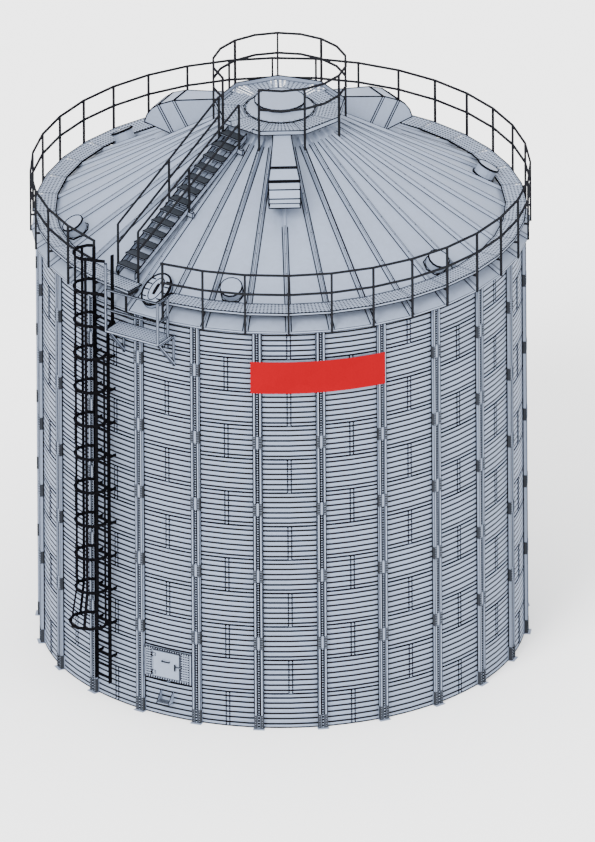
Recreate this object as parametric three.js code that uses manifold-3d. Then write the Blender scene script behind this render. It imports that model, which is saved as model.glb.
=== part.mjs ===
// Grain silo: bolted ring wall with folded stiffeners, ribbed cone roof, eave walkway,
// peak platform, roof stair, caged ladder with a rest platform, and an access door.
// Millimetres, +Z up. The ground is z = 0, the silo axis is Z and the front is -Y.
// Angles are in degrees around the axis: 0 is the front, and they grow towards +X.

import * as THREE from 'three';
import { mergeVertices } from 'three/addons/utils/BufferGeometryUtils.js';
import Module from 'manifold-3d';

const wasm = await Module();
wasm.setup();

// Gap left between pieces that touch
const fit = 0.3;
const wedgeStep = 60;

// Wall of flat facets, one of them behind each stiffener
const wall = { radius: 5350, thickness: 14, height: 9800, facet: 5, panel: 30 };
const ringHeight = wall.height / 12;

// Folded stiffeners with a boot and a base plate
const stiffener = {
  angle: 7.5, halfWidth: 100, depth: 100, sheet: 5, web: 30, flangeFrom: 38, lip: 20, topGap: 20,
};
const boot = { height: 330, sheet: 6, plateHalf: 125, plateDepth: 165, plate: 12 };

// Cone roof of flat panels between radial ribs
const roof = { eaveRadius: 5513, eaveZ: 9810, pitch: 0.5965, sheet: 12, peakRadius: 760, lip: 55, sides: 36 };
const rib = { step: 10, base: 100, top: 40, height: 65, sink: 5, from: 1150, side: 60, overrun: 100 };
const eaveAngle = { inner: 45, outer: 5 };
const roofSectors = 6;
const sectorStart = -40;

// Round roof vents and ventilation hoods
const vent = {
  radius: 4680, neck: 226, height: 235, base: 270, plate: 10, lid: 248, lidHeight: 25,
  sink: 40, sides: 14, baseSides: 8,
};
const ventAngles = [-15, 45, 105, 165, 225, 285];
const hood = { inner: 1290, deckEdge: 1385, seam: 2167, seamHeight: 692, elbow: 2502, radius: 735, sink: 20 };
const hoodMouth = { angle: 42, steps: 3, sheet: 14, turn: 8, pivot: 140 };
const hoodHalf = { inner: 205, seam: 295, mouth: 348 };
const hoodAngles = [0, 120, 240];

// Peak: collar, fill cap, nonagon platform and its railing
const collar = { inner: 745, outer: 800, top: 12650 };
const cap = { skirt: 768, drum: 530, flange: 570, sheet: 10, drumZ: 12790, topZ: 12870, sides: 18 };
const peak = { sides: 9, firstCorner: 20, radius: 1463, inner: 823, deck: 5, toe: 100, toeSheet: 6,
  entryHalf: 300, entryAngle: -40 };
const peakRail = { radius: 1486, topZ: 13780, midZ: 13290, tube: 42, open: [-60, -20],
  sides: 18, overlap: 0.6 };

// Eave walkway and railing
const walkway = { inner: 4980, outer: 5450, deckZ: 10230, sheet: 6, flange: 60 };
const walkwayArcs = [['right', -31, 90], ['back', 90, 200], ['left', 200, 320]];
const eaveRail = { radius: 5536, topZ: 11200, midZ: 10727, tube: 42, footZ: 9762, post: 44 };
const eaveRailArcs = [['right', -30.5, 85], ['back', 85, 205], ['left', 205, 310.25]];
const bearer = { height: 40, half: 20 };
const shortFootAngle = -40;

// Roof stair
const stair = { angle: -45, side: -45, half: 285, foot: 4960.7, head: 1330, rise: 270 };
const tread = { count: 13, depth: 235, thickness: 30 };
const stringer = { height: 130, sheet: 10 };
const stairRail = { tube: 36, post: 40, height: 970, mid: 500, posts: [4880, 3220, 1600] };
const stairBeam = { out: [3220, 1600], left: -430, right: 380, width: 60, above: 50, lap: 20 };

// Caged ladder
const ladder = { angle: -47.3, radius: 5580, half: 215, stile: 80, stileSheet: 14, foot: 500, head: 11070 };
const ladderTop = { side: 360, low: 9120, stileEnd: 9300, lastRung: 10200 };
const rung = { firstZ: 620, pitch: 275, width: 30, height: 26 };
const cage = { radius: 375, centre: 5920, bar: 8, hoop: 55, lowZ: 2110, pitch: 820, count: 12, strap: 50,
  lap: 5, landingCorner: 48, landingStraps: 58 };
const cageCorners = [-124, -86, -48, -10, 10, 48, 86, 124];
const cageStrapAngles = [-105, -67, -29, 29, 67, 105];
const flare = { radius: 450, centre: 6000 };
const bracket = { count: 11, ring: 1.4, height: 50, sheet: 5, back: 60 };

// Rest platform beside the ladder
const rest = { angle: -35, left: -695, right: 675, back: 5450, front: 6000, deckZ: 9462 };
const restTray = { sheet: 6, edge: 55, bar: 40, leg: 790, lap: 1.5, behind: 200 };
const restRail = { post: 40, tube: 30, height: 1000, mid: 500, tallZ: 11080, backOut: 5573 };

// Oval roof manhole
const manhole = { angle: -35, radius: 4960, long: 430, wide: 300, curb: 110, lid: 26, overhang: 15,
  sink: 20, sides: 24 };
const manholeHandle = { half: 12, halfLong: 90, height: 60 };

// Access door in the second ring
const door = { angle: -30, split: 5, low: 883, high: 1643, half: 585, depth: 48, back: 60 };
const doorway = { left: -335, right: 275, low: 990, high: 1556 };
const leaf = { left: -378, right: 299, low: 962, high: 1584, thickness: 25, gap: 6 };
const hinge = { pin: 8, bore: 8.8, knuckle: 15, height: 70, z: [1056, 1487], stand: 6, strap: 8, reach: 90,
  sides: 12, pinBelow: 12, lug: 16 };
const handle = { left: -127, right: 68, z: 1360, size: 15, stand: 45, bar: 12 };
const latch = { side: 208, low: 1195, high: 1345, z: 1280, half: 12, stand: 42, bolt: 16, keeper: [8, 38] };
const step = { side: -33, half: 150, out: 250, low: 375, treadZ: 412, apexZ: 620, sheet: 6,
  back: 20, apexOut: 45, bars: [70, 115, 160, 205], barWidth: 30, barHeight: 32 };

// Curved plain panel in front of the stiffeners
const panelSign = { from: -9, to: 23.2, low: 8260, high: 9030, sheet: 4 };

const rad = THREE.MathUtils.degToRad;
const slope = Math.atan(roof.pitch);
const facetApothem = wall.radius * Math.cos(rad(wall.facet / 2));
const tallPost = { side: rest.left - restRail.post / 2 + 1, out: rest.front - restRail.post / 2 };
const far = 9000;

const roofTop = (radius) => roof.eaveZ + (roof.eaveRadius - radius) * roof.pitch;
const ribTop = (radius) => roofTop(radius) + rib.height / Math.cos(slope);
const onCircle = (radius, angle) => [radius * Math.sin(rad(angle)), radius * Math.cos(rad(angle))];
const at = (side, out, z) => new THREE.Vector3(side, -out, z);

// Solids are cut and joined here, and every helper takes (side, out, z) as seen at the front
function solidOf(geometry) {
  const bare = geometry.index ? geometry : mergeVertices(geometry);
  bare.deleteAttribute('normal');
  bare.deleteAttribute('uv');
  const merged = mergeVertices(bare, 1e-3);
  const mesh = new wasm.Mesh({
    numProp: 3,
    vertProperties: new Float32Array(merged.attributes.position.array),
    triVerts: new Uint32Array(merged.index.array),
  });
  return new wasm.Manifold(mesh);
}

function geometryOf(solid) {
  const mesh = solid.getMesh();
  const geometry = new THREE.BufferGeometry();
  geometry.setAttribute('position', new THREE.BufferAttribute(mesh.vertProperties, 3));
  geometry.setIndex(new THREE.BufferAttribute(mesh.triVerts, 1));
  geometry.computeVertexNormals();
  return geometry;
}

const joined = (solids) => solids.reduce((whole, piece) => whole.add(piece));

function turned(solid, angle) {
  const geometry = geometryOf(solid);
  geometry.rotateZ(rad(angle));
  return solidOf(geometry);
}

function block(side0, side1, out0, out1, z0, z1) {
  const geometry = new THREE.BoxGeometry(side1 - side0, out1 - out0, z1 - z0);
  geometry.translate((side0 + side1) / 2, -(out0 + out1) / 2, (z0 + z1) / 2);
  return solidOf(geometry);
}

// Square bar between two points, with one face turned to the given direction
function bar(from, to, width, depth, facing) {
  const along = to.clone().sub(from);
  const geometry = new THREE.BoxGeometry(width, depth, along.length());
  along.normalize();
  const across = facing.clone().addScaledVector(along, -facing.dot(along)).normalize();
  const third = along.clone().cross(across);
  const middle = from.clone().add(to).multiplyScalar(0.5);
  geometry.applyMatrix4(new THREE.Matrix4().makeBasis(across, third, along).setPosition(middle));
  return solidOf(geometry);
}

// Plan outline of [side, out] points, raised from z0 to z1
function column(outline, z0, z1) {
  const shape = new THREE.Shape(outline.map(([side, out]) => new THREE.Vector2(side, -out)));
  const geometry = new THREE.ExtrudeGeometry(shape, { depth: z1 - z0, bevelEnabled: false });
  geometry.translate(0, 0, z0);
  return solidOf(geometry);
}

// Side outline of [out, z] points, extruded across from side0 to side1
function gusset(outline, side0, side1) {
  const shape = new THREE.Shape(outline.map(([out, z]) => new THREE.Vector2(out, z)));
  const geometry = new THREE.ExtrudeGeometry(shape, { depth: side1 - side0, bevelEnabled: false });
  const basis = new THREE.Matrix4().makeBasis(at(0, 1, 0), at(0, 0, 1), at(-1, 0, 0));
  geometry.applyMatrix4(basis);
  geometry.translate(side1, 0, 0);
  return solidOf(geometry);
}

// Section of [side, height] points run down the roof from one radius to another
function downRoof(outline, from, to, lift) {
  const shape = new THREE.Shape(outline.map(([side, height]) => new THREE.Vector2(side, height)));
  const length = (to - from) / Math.cos(slope);
  const geometry = new THREE.ExtrudeGeometry(shape, { depth: length, bevelEnabled: false });
  const normal = at(0, Math.sin(slope), Math.cos(slope));
  const down = at(0, Math.cos(slope), -Math.sin(slope));
  const place = new THREE.Matrix4().makeBasis(at(1, 0, 0), normal, down);
  const origin = at(0, from, roofTop(from)).addScaledVector(normal, lift);
  geometry.applyMatrix4(place.setPosition(origin));
  return solidOf(geometry);
}

// Closed outline of a folded sheet along [x, y] points, with mitred corners
function folded(path, thickness) {
  const half = thickness / 2;
  const points = path.map(([x, y]) => new THREE.Vector2(x, y));
  const normals = points.slice(1).map((point, i) => {
    const along = point.clone().sub(points[i]).normalize();
    return new THREE.Vector2(-along.y, along.x);
  });
  const offset = (sign) => points.map((point, i) => {
    const before = normals[Math.max(i - 1, 0)];
    const after = normals[Math.min(i, normals.length - 1)];
    const mitre = before.clone().add(after);
    mitre.multiplyScalar(sign * half * 2 / mitre.lengthSq());
    return [point.x + mitre.x, point.y + mitre.y];
  });
  return [...offset(1), ...offset(-1).reverse()];
}

// Ring around the axis from a closed profile of [radius, z] points
function ring(profile, segments) {
  const area = profile.reduce((sum, [x, y], i) => {
    const [nextX, nextY] = profile[(i + 1) % profile.length];
    return sum + x * nextY - nextX * y;
  }, 0);
  const ordered = area > 0 ? profile : [...profile].reverse();
  const points = [...ordered, ordered[0]].map(([radius, z]) => new THREE.Vector2(radius, z));
  const geometry = new THREE.LatheGeometry(points, segments);
  geometry.rotateX(Math.PI / 2);
  return solidOf(geometry);
}

const squareProfile = (radius, z, size) => [
  [radius - size / 2, z - size / 2],
  [radius + size / 2, z - size / 2],
  [radius + size / 2, z + size / 2],
  [radius - size / 2, z + size / 2],
];

// Wedge around the axis that keeps what lies between two angles
function wedge(from, to, z0, z1) {
  const count = Math.ceil((to - from) / wedgeStep);
  const rim = Array.from({ length: count + 1 }, (_, i) => onCircle(far, from + (to - from) * i / count));
  return column([[0, 0], ...rim], z0, z1);
}

const facetAngles = (from, to) => {
  const inner = [];
  for (let angle = Math.ceil((from + 1e-6) / wall.facet) * wall.facet; angle < to; angle += wall.facet) {
    inner.push(angle);
  }
  return [from, ...inner, to];
};

const facetRadius = (radius, angle) => {
  const middle = (Math.floor(angle / wall.facet) + 0.5) * wall.facet;
  return radius * Math.cos(rad(wall.facet / 2)) / Math.cos(rad(angle - middle));
};

// Curved band of flat facets between two angles
function band(from, to, inner, outer, z0, z1) {
  const angles = facetAngles(from, to);
  const outside = angles.map((angle) => onCircle(facetRadius(outer, angle), angle));
  const inside = angles.map((angle) => onCircle(facetRadius(inner, angle), angle));
  return column([...outside, ...inside.reverse()], z0, z1);
}

const wallKeepOut = column(
  Array.from({ length: 360 / wall.facet }, (_, i) => onCircle(wall.radius + fit, i * wall.facet)),
  -1, wall.height);

function stiffenerSolid() {
  const base = facetApothem - 1;
  const front = facetApothem + stiffener.depth - stiffener.sheet / 2;
  const lipEnd = facetApothem + stiffener.lip;
  const webOut = facetApothem + stiffener.sheet / 2;
  const edge = stiffener.halfWidth - stiffener.sheet / 2;
  const path = [
    [-edge, lipEnd], [-edge, front], [-stiffener.flangeFrom, front], [-stiffener.web, webOut],
    [stiffener.web, webOut], [stiffener.flangeFrom, front], [edge, front], [edge, lipEnd],
  ];
  const hat = column(folded(path, stiffener.sheet), 0, wall.height - stiffener.topGap);
  const side = stiffener.halfWidth;
  const wrapFront = facetApothem + stiffener.depth;
  const wrap = column(
    folded([[-side, base], [-side, wrapFront], [side, wrapFront], [side, base]], boot.sheet), 0, boot.height);
  const plate = block(-boot.plateHalf, boot.plateHalf, base, facetApothem + boot.plateDepth, 0, boot.plate);
  return joined([hat, wrap, plate]);
}

function wallPanel(from, to, z0, z1, stiffenerAngles) {
  const shell = band(from, to, wall.radius - wall.thickness, wall.radius, z0, z1);
  return joined([shell, ...stiffenerAngles.map((angle) => turned(stiffenerSolid(), angle))]);
}

const ribOutline = (grow) => [
  [-rib.base / 2 - grow, -rib.sink], [rib.base / 2 + grow, -rib.sink],
  [rib.top / 2 + grow, rib.height + grow], [-rib.top / 2 - grow, rib.height + grow],
];

function ribSolid(grow) {
  const length = downRoof(ribOutline(grow), rib.from - grow, roof.eaveRadius + rib.overrun, 0);
  return length.intersect(block(-far, far, 0, roof.eaveRadius + grow, 0, 2 * far));
}

function roofShell() {
  const drop = roof.sheet / Math.cos(slope);
  const under = (radius) => roofTop(radius) - drop;
  const lipInner = roof.eaveRadius - roof.sheet;
  const seatOuter = wall.radius + eaveAngle.outer;
  const seatInner = wall.radius - eaveAngle.inner;
  return ring([
    [roof.peakRadius, roofTop(roof.peakRadius)],
    [roof.eaveRadius, roof.eaveZ],
    [roof.eaveRadius, roof.eaveZ - roof.lip],
    [lipInner, roof.eaveZ - roof.lip],
    [lipInner, under(lipInner)],
    [seatOuter, under(seatOuter)],
    [seatOuter, wall.height + fit],
    [seatInner, wall.height + fit],
    [seatInner, under(seatInner)],
    [roof.peakRadius, under(roof.peakRadius)],
  ], roof.sides);
}

function roofSector() {
  const span = 360 / roofSectors;
  const fromStart = block(-rib.side, far, -far, far, 0, 2 * far);
  const beforeEnd = turned(block(-far, -rib.side - fit, -far, far, 0, 2 * far), span);
  const sheet = roofShell().intersect(fromStart).intersect(beforeEnd);
  const ribs = Array.from({ length: span / rib.step }, (_, i) => turned(ribSolid(0), i * rib.step));
  return joined([sheet, ...ribs]);
}

// Space taken by the roof, with the gap for what stands on it
const roofKeepOut = joined([
  ring([[0, 0], [roof.eaveRadius, 0], [roof.eaveRadius, roof.eaveZ + 2 * fit],
    [roof.peakRadius, roofTop(roof.peakRadius) + 2 * fit], [0, roofTop(roof.peakRadius)]], roof.sides),
  ...Array.from({ length: 360 / rib.step }, (_, i) => turned(ribSolid(2 * fit), i * rib.step)),
]);
const roofKeepOutBetween = turned(roofKeepOut, rib.step / 2);

// Round stub with its axis normal to the roof
function roofDisc(radius, z0, z1, centre, sides) {
  const geometry = new THREE.CylinderGeometry(radius, radius, z1 - z0, sides);
  geometry.rotateX(Math.PI / 2);
  geometry.translate(0, 0, (z0 + z1) / 2);
  geometry.rotateX(slope);
  geometry.translate(0, -centre, roofTop(centre));
  return solidOf(geometry);
}

function roofVent() {
  return joined([
    roofDisc(vent.base, -vent.sink, vent.plate, vent.radius, vent.baseSides),
    roofDisc(vent.neck, -vent.sink, vent.height, vent.radius, vent.sides),
    roofDisc(vent.lid, vent.height, vent.height + vent.lidHeight, vent.radius, vent.sides),
  ]).subtract(roofKeepOutBetween);
}

// Hood outline in the roof's own slope, turned back to [out, z]
const raised = (radius, height) => [
  radius + height * Math.sin(slope), roofTop(radius) + height * Math.cos(slope),
];

function hoodArc(radius, from, to, steps) {
  return Array.from({ length: steps + 1 }, (_, i) => {
    const angle = rad(from + (to - from) * i / steps);
    const along = radius * Math.cos(angle);
    return raised(hood.elbow + along * Math.cos(slope), radius * Math.sin(angle));
  });
}

// The duct runs from under the peak platform to its flange, and the elbow turns down the slope
function ventHood() {
  const innerTop = collar.top;
  const outline = [
    [hood.inner, roofTop(hood.inner) - hood.sink], [hood.inner, innerTop], [hood.deckEdge, innerTop],
    raised(hood.seam, hood.seamHeight),
    ...hoodArc(hood.radius, 90, hoodMouth.angle, hoodMouth.steps), raised(hood.elbow, -hood.sink),
  ];
  const along = (radius) => (radius - hood.elbow) / Math.cos(slope);
  const edge = [
    [hoodHalf.inner, 2 * along(hood.inner)], [hoodHalf.inner, along(hood.inner)],
    [hoodHalf.seam, along(hood.seam)], [hoodHalf.mouth, 0], [hoodHalf.mouth, 2 * hood.radius],
  ];
  const mirrored = edge.map(([side, down]) => [-side, down]).reverse();
  const plan = onRoof([...edge, ...mirrored], -hood.radius, 3 * hood.radius, hood.elbow);
  const body = gusset(outline, -hoodHalf.mouth, hoodHalf.mouth).intersect(plan);
  const { angle, turn, sheet, pivot } = hoodMouth;
  const mouthHalf = hoodHalf.mouth - sheet;
  const mouth = gusset([
    ...hoodArc(hood.radius - sheet, angle + turn, angle - turn, 2),
    ...hoodArc(pivot, angle - turn, angle + turn, 1),
  ], -mouthHalf, mouthHalf);
  return body.subtract(mouth).subtract(roofKeepOut);
}

function peakCollar() {
  const seat = roofTop(collar.outer) + fit / Math.cos(slope);
  const innerSeat = roofTop(roof.peakRadius) + fit / Math.cos(slope);
  return ring([[collar.inner, innerSeat], [roof.peakRadius, innerSeat], [collar.outer, seat],
    [collar.outer, collar.top], [collar.inner, collar.top]], roof.sides);
}

function fillCap() {
  const base = collar.top + fit;
  return ring([
    [0, cap.topZ - cap.sheet], [cap.drum - cap.sheet, cap.topZ - cap.sheet],
    [cap.drum - cap.sheet, cap.drumZ], [cap.skirt - 2 * cap.sheet, base + cap.sheet],
    [cap.skirt - 2 * cap.sheet, base], [cap.skirt, base], [cap.skirt, base + cap.sheet],
    [cap.drum, cap.drumZ], [cap.drum, cap.topZ - 2 * cap.sheet],
    [cap.flange, cap.topZ - 2 * cap.sheet], [cap.flange, cap.topZ], [0, cap.topZ],
  ], cap.sides);
}

const peakCorners = Array.from({ length: peak.sides }, (_, i) => peak.firstCorner + i * 360 / peak.sides);
const peakPolygon = (radius) => peakCorners.map((angle) => onCircle(radius, angle));

function peakPlatform() {
  const deckLow = collar.top + fit;
  const outer = column(peakPolygon(peak.radius), deckLow, deckLow + peak.toe);
  const basin = column(peakPolygon(peak.radius - peak.toeSheet), deckLow + peak.deck, deckLow + far);
  const hole = column(peakPolygon(peak.inner), 0, 2 * far);
  const entry = turned(
    block(-peak.entryHalf, peak.entryHalf, peak.inner, 2 * peak.radius, deckLow + peak.deck, deckLow + far),
    peak.entryAngle);
  return outer.subtract(basin).subtract(hole).subtract(entry);
}

function peakRailing() {
  const rings = joined([
    ring(squareProfile(peakRail.radius, peakRail.topZ, peakRail.tube), peakRail.sides),
    ring(squareProfile(peakRail.radius, peakRail.midZ, peakRail.tube), peakRail.sides),
  ]);
  const half = peakRail.tube / 2;
  const kept = rings.intersect(wedge(
    peakRail.open[1] - peakRail.overlap, peakRail.open[0] + 360 + peakRail.overlap, 0, 2 * far));
  const posts = peakCorners.map((angle) => turned(
    block(-half, half, peak.radius + fit, peakRail.radius + half, 0, peakRail.topZ), angle));
  return joined([kept, ...posts]).subtract(roofKeepOut);
}

function walkwayArc(from, to) {
  const inner = walkway.inner;
  const outer = walkway.outer;
  const sheet = walkway.sheet;
  const seat = ribTop(inner - rib.top * Math.tan(rad(rib.step / 2))) + fit;
  const under = walkway.deckZ - sheet;
  const channel = ring([
    [inner, seat], [inner + sheet, seat], [inner + sheet, under], [outer - sheet, under],
    [outer - sheet, walkway.deckZ - walkway.flange], [outer, walkway.deckZ - walkway.flange],
    [outer, walkway.deckZ], [inner, walkway.deckZ],
  ], roof.sides);
  return channel.intersect(wedge(from + 0.002, to - 0.002, 0, 2 * far));
}

// Posts stand against the eave, and their bearers carry the walkway to the ribs
const bearerTop = walkway.deckZ - walkway.flange - fit;
const bearerSeat = roof.eaveRadius - (bearerTop - bearer.height - ribTop(roof.eaveRadius) - fit) / roof.pitch;

function eavePost(topZ) {
  const inner = roof.eaveRadius + fit;
  return joined([
    block(-eaveRail.post / 2, eaveRail.post / 2, inner, inner + eaveRail.post, eaveRail.footZ, topZ),
    block(-bearer.half, bearer.half, bearerSeat, inner + 1, bearerTop - bearer.height, bearerTop),
  ]);
}

function eaveRailing(from, to) {
  const rings = joined([
    ring(squareProfile(eaveRail.radius, eaveRail.topZ, eaveRail.tube), roof.sides),
    ring(squareProfile(eaveRail.radius, eaveRail.midZ, eaveRail.tube), roof.sides),
  ]).intersect(wedge(from + 0.002, to - 0.002, 0, 2 * far));
  const posts = [];
  for (let angle = Math.ceil(from / rib.step) * rib.step; angle < to; angle += rib.step) {
    posts.push(turned(eavePost(eaveRail.topZ), angle));
  }
  return joined([rings, ...posts]);
}

const stairLineZ = (out) => roofTop(out) + stair.rise;
const stairBeamTop = (out) => stairLineZ(out) - stringer.height + stairBeam.lap;

function roofStair() {
  const { side, half } = stair;
  const ends = [stair.head, stair.foot];
  const outline = [
    ...ends.map((out) => [out, stairLineZ(out)]),
    ...ends.reverse().map((out) => [out, stairLineZ(out) - stringer.height]),
  ];
  const stringers = [-1, 1].map((sign) => {
    const faces = [side + sign * half, side + sign * (half - stringer.sheet)];
    return gusset(outline, Math.min(...faces), Math.max(...faces));
  });
  const going = (stair.foot - stair.head) / tread.count;
  const treads = Array.from({ length: tread.count }, (_, i) => {
    const out = stair.head + going * (i + 0.5);
    const top = stairLineZ(out);
    return block(side - half + 1, side + half - 1, out - tread.depth / 2, out + tread.depth / 2,
      top - tread.thickness, top);
  });
  const beams = stairBeam.out.map((out) => block(
    stairBeam.left, stairBeam.right, out - stairBeam.width / 2, out + stairBeam.width / 2,
    roofTop(out) + stairBeam.above, stairBeamTop(out)));
  return joined([...stringers, ...treads, ...beams]).subtract(roofKeepOutBetween);
}

// The lowest post stands on the roof and the others on the cross beams
function stairHandrail(sign) {
  const half = stairRail.post / 2;
  const side = stair.side + sign * (stair.half + half + fit);
  const [first, ...onBeams] = stairRail.posts;
  const last = onBeams[onBeams.length - 1];
  const post = (out, foot) => block(side - half, side + half, out - half, out + half,
    foot, stairLineZ(out) + stairRail.height);
  const posts = [post(first, 0), ...onBeams.map((out) => post(out, stairBeamTop(out) + fit))];
  const rails = [stairRail.height, stairRail.mid].map((height) => bar(
    at(side, last, stairLineZ(last) + height), at(side, first, stairLineZ(first) + height),
    stairRail.tube, stairRail.tube, at(1, 0, 0)));
  return joined([...posts, ...rails]).subtract(roofKeepOutBetween);
}

// The right stile steps aside below the rest platform, so the climber can leave the ladder
function accessLadder() {
  const { half, radius, stile, stileSheet, foot, head } = ladder;
  const low = radius - stile / 2;
  const high = radius + stile / 2;
  const stileAt = (side, z0, z1) => block(side - stileSheet / 2, side + stileSheet / 2, low, high, z0, z1);
  const crossBar = (side0, side1, z0, z1) => block(
    side0, side1, radius - rung.width / 2, radius + rung.width / 2, z0, z1);
  const stiles = [
    stileAt(-half, foot, head), stileAt(half, foot, ladderTop.stileEnd),
    stileAt(ladderTop.side, ladderTop.low, head),
    crossBar(half, ladderTop.side, ladderTop.low, ladderTop.stileEnd),
  ];
  const rungCount = Math.floor((ladderTop.lastRung - rung.firstZ) / rung.pitch) + 1;
  const rungs = Array.from({ length: rungCount }, (_, i) => {
    const z = rung.firstZ + i * rung.pitch;
    const end = z > ladderTop.low ? ladderTop.side : half;
    return crossBar(-half, end, z - rung.height / 2, z + rung.height / 2);
  });
  const brackets = Array.from({ length: bracket.count }, (_, i) => (i + bracket.ring) * ringHeight)
    .flatMap((z) => [-half, half].map((side) => block(
      side - bracket.sheet, side + bracket.sheet, wall.radius - bracket.back, low + 1,
      z - bracket.height / 2, z + bracket.height / 2)));
  const wallTurn = Math.ceil(ladder.angle / wall.facet) * wall.facet - ladder.angle;
  return joined([...stiles, ...rungs, ...brackets]).subtract(turned(wallKeepOut, wallTurn));
}

// Points of a hoop around the climber, measured from straight out
const hoopPoint = (angle, radius, centre) => [
  radius * Math.sin(rad(angle)), centre + radius * Math.cos(rad(angle)),
];

const hoopAt = (path, z) => column(folded(path, cage.bar), z - cage.hoop / 2, z + cage.hoop / 2);

// A point of one turned frame as seen in another
const seenFrom = ([side, out], turn) => [
  side * Math.cos(rad(turn)) + out * Math.sin(rad(turn)),
  out * Math.cos(rad(turn)) - side * Math.sin(rad(turn)),
];

function ladderCage() {
  const stileFront = ladder.radius + ladder.stile / 2;
  const stileEnd = (side) => [side, stileFront - cage.lap];
  const hoopCorners = (radius, centre) => cageCorners.map((angle) => hoopPoint(angle, radius, centre));
  const closed = (corners) => [stileEnd(-ladder.half), ...corners, stileEnd(ladder.half)];
  const post = seenFrom([tallPost.side, tallPost.out], rest.angle - ladder.angle);
  const lowCorners = hoopCorners(flare.radius, flare.centre);
  const corners = hoopCorners(cage.radius, cage.centre);
  const landingCount = cageCorners.indexOf(cage.landingCorner) + 1;
  const landing = [stileEnd(-ladder.half), ...corners.slice(0, landingCount), post];
  const levels = Array.from({ length: cage.count }, (_, i) => cage.lowZ + i * cage.pitch);
  const hoops = levels.map((z, i) => {
    if (z > rest.deckZ) return hoopAt(landing, z);
    return hoopAt(closed(i === 0 ? lowCorners : corners), z);
  });
  const topOf = (z) => z + cage.hoop / 2;
  const lastClosed = Math.max(...levels.filter((z) => z < rest.deckZ));
  const facet = Math.cos(rad((cageCorners[1] - cageCorners[0]) / 2));
  const inside = (radius) => radius * facet - cage.bar + 1;
  const straps = cageStrapAngles.flatMap((angle) => {
    const [side, out] = hoopPoint(angle, inside(cage.radius), cage.centre);
    const [lowSide, lowOut] = hoopPoint(angle, inside(flare.radius), flare.centre);
    const face = at(Math.cos(rad(angle)), -Math.sin(rad(angle)), 0);
    const top = angle > cage.landingStraps ? lastClosed : levels[levels.length - 1];
    const strapBetween = (from, to) => bar(from, to, cage.strap, cage.bar, face);
    return [
      strapBetween(at(side, out, levels[1] - cage.hoop / 2), at(side, out, topOf(top))),
      strapBetween(at(lowSide, lowOut, levels[0] - cage.hoop / 2), at(side, out, levels[1])),
    ];
  });
  const stileSpace = joined([-1, 1].map((sign) => block(
    sign * ladder.half - 2 * ladder.stileSheet, sign * ladder.half + 2 * ladder.stileSheet,
    ladder.radius - ladder.stile, stileFront + fit, 0, 2 * far)));
  const postHalf = restRail.post / 2 + fit;
  const postSpace = turned(block(
    tallPost.side - postHalf, tallPost.side + postHalf, tallPost.out - postHalf, tallPost.out + postHalf,
    0, 2 * far), rest.angle - ladder.angle);
  return joined([...hoops, ...straps]).subtract(stileSpace).subtract(postSpace);
}

function restPlatform() {
  const { left, right, back, front, deckZ } = rest;
  const { sheet, edge } = restTray;
  const tray = block(left, right, back, front, deckZ - edge, deckZ);
  const under = block(left + sheet, right - sheet, back + sheet, front - sheet,
    deckZ - edge - 1, deckZ - sheet);
  const half = restRail.post / 2;
  const near = { side: right - half, out: front - half };
  const backPost = { side: right - half, out: restRail.backOut };
  const post = ({ side, out }, top) => block(
    side - half, side + half, out - half, out + half, deckZ - edge, top);
  const railTop = deckZ + restRail.height;
  const posts = [post(tallPost, restRail.tallZ), post(near, railTop), post(backPost, railTop)];
  const railBetween = (from, to, height, facing) => bar(
    at(from.side, from.out, deckZ + height), at(to.side, to.out, deckZ + height),
    restRail.tube, restRail.tube, facing);
  const rails = [restRail.height - restRail.tube / 2, restRail.mid].flatMap((height) => [
    railBetween(tallPost, near, height, at(0, 1, 0)),
    railBetween(backPost, near, height, at(1, 0, 0)),
  ]);
  return joined([tray.subtract(under), ...posts, ...rails, ...restBracket(left), ...restBracket(right)])
    .subtract(wallKeepOut);
}

// Leg on the wall, a bearer under the deck and a diagonal to the deck's front edge
function restBracket(edgeSide) {
  const { back, front, deckZ } = rest;
  const { sheet, edge, bar: width, leg, lap } = restTray;
  const side0 = edgeSide < 0 ? edgeSide + sheet - lap : edgeSide - sheet - width + lap;
  const side1 = side0 + width;
  const behind = wall.radius - restTray.behind;
  const legFront = wall.radius * Math.cos(Math.asin(side0 / wall.radius)) + width;
  const foot = deckZ - leg + width;
  const diagonal = gusset([
    [legFront - width / 2, foot - width / 2], [legFront, foot - width / 2],
    [front - sheet - width / 2, deckZ - edge], [front - sheet - 2 * width, deckZ - edge],
    [legFront - width / 2, foot + width],
  ], side0, side1);
  return [
    block(side0, side1, behind, legFront, deckZ - leg, deckZ - edge + lap),
    block(side0, side1, behind, back + 2 * sheet, deckZ - edge - width, deckZ - edge),
    block(side0, side1, back + sheet, front - width - lap, deckZ - edge - width, deckZ - sheet + lap),
    diagonal,
  ];
}

function oval(long, wide, segments) {
  return Array.from({ length: segments }, (_, i) => {
    const angle = 2 * Math.PI * i / segments;
    return [wide * Math.cos(angle), long * Math.sin(angle)];
  });
}

function onRoof(outline, low, high, centre) {
  const shape = new THREE.Shape(outline.map(([side, along]) => new THREE.Vector2(side, -along)));
  const geometry = new THREE.ExtrudeGeometry(shape, { depth: high - low, bevelEnabled: false });
  geometry.translate(0, 0, low);
  geometry.rotateX(slope);
  geometry.translate(0, -centre, roofTop(centre));
  return solidOf(geometry);
}

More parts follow.
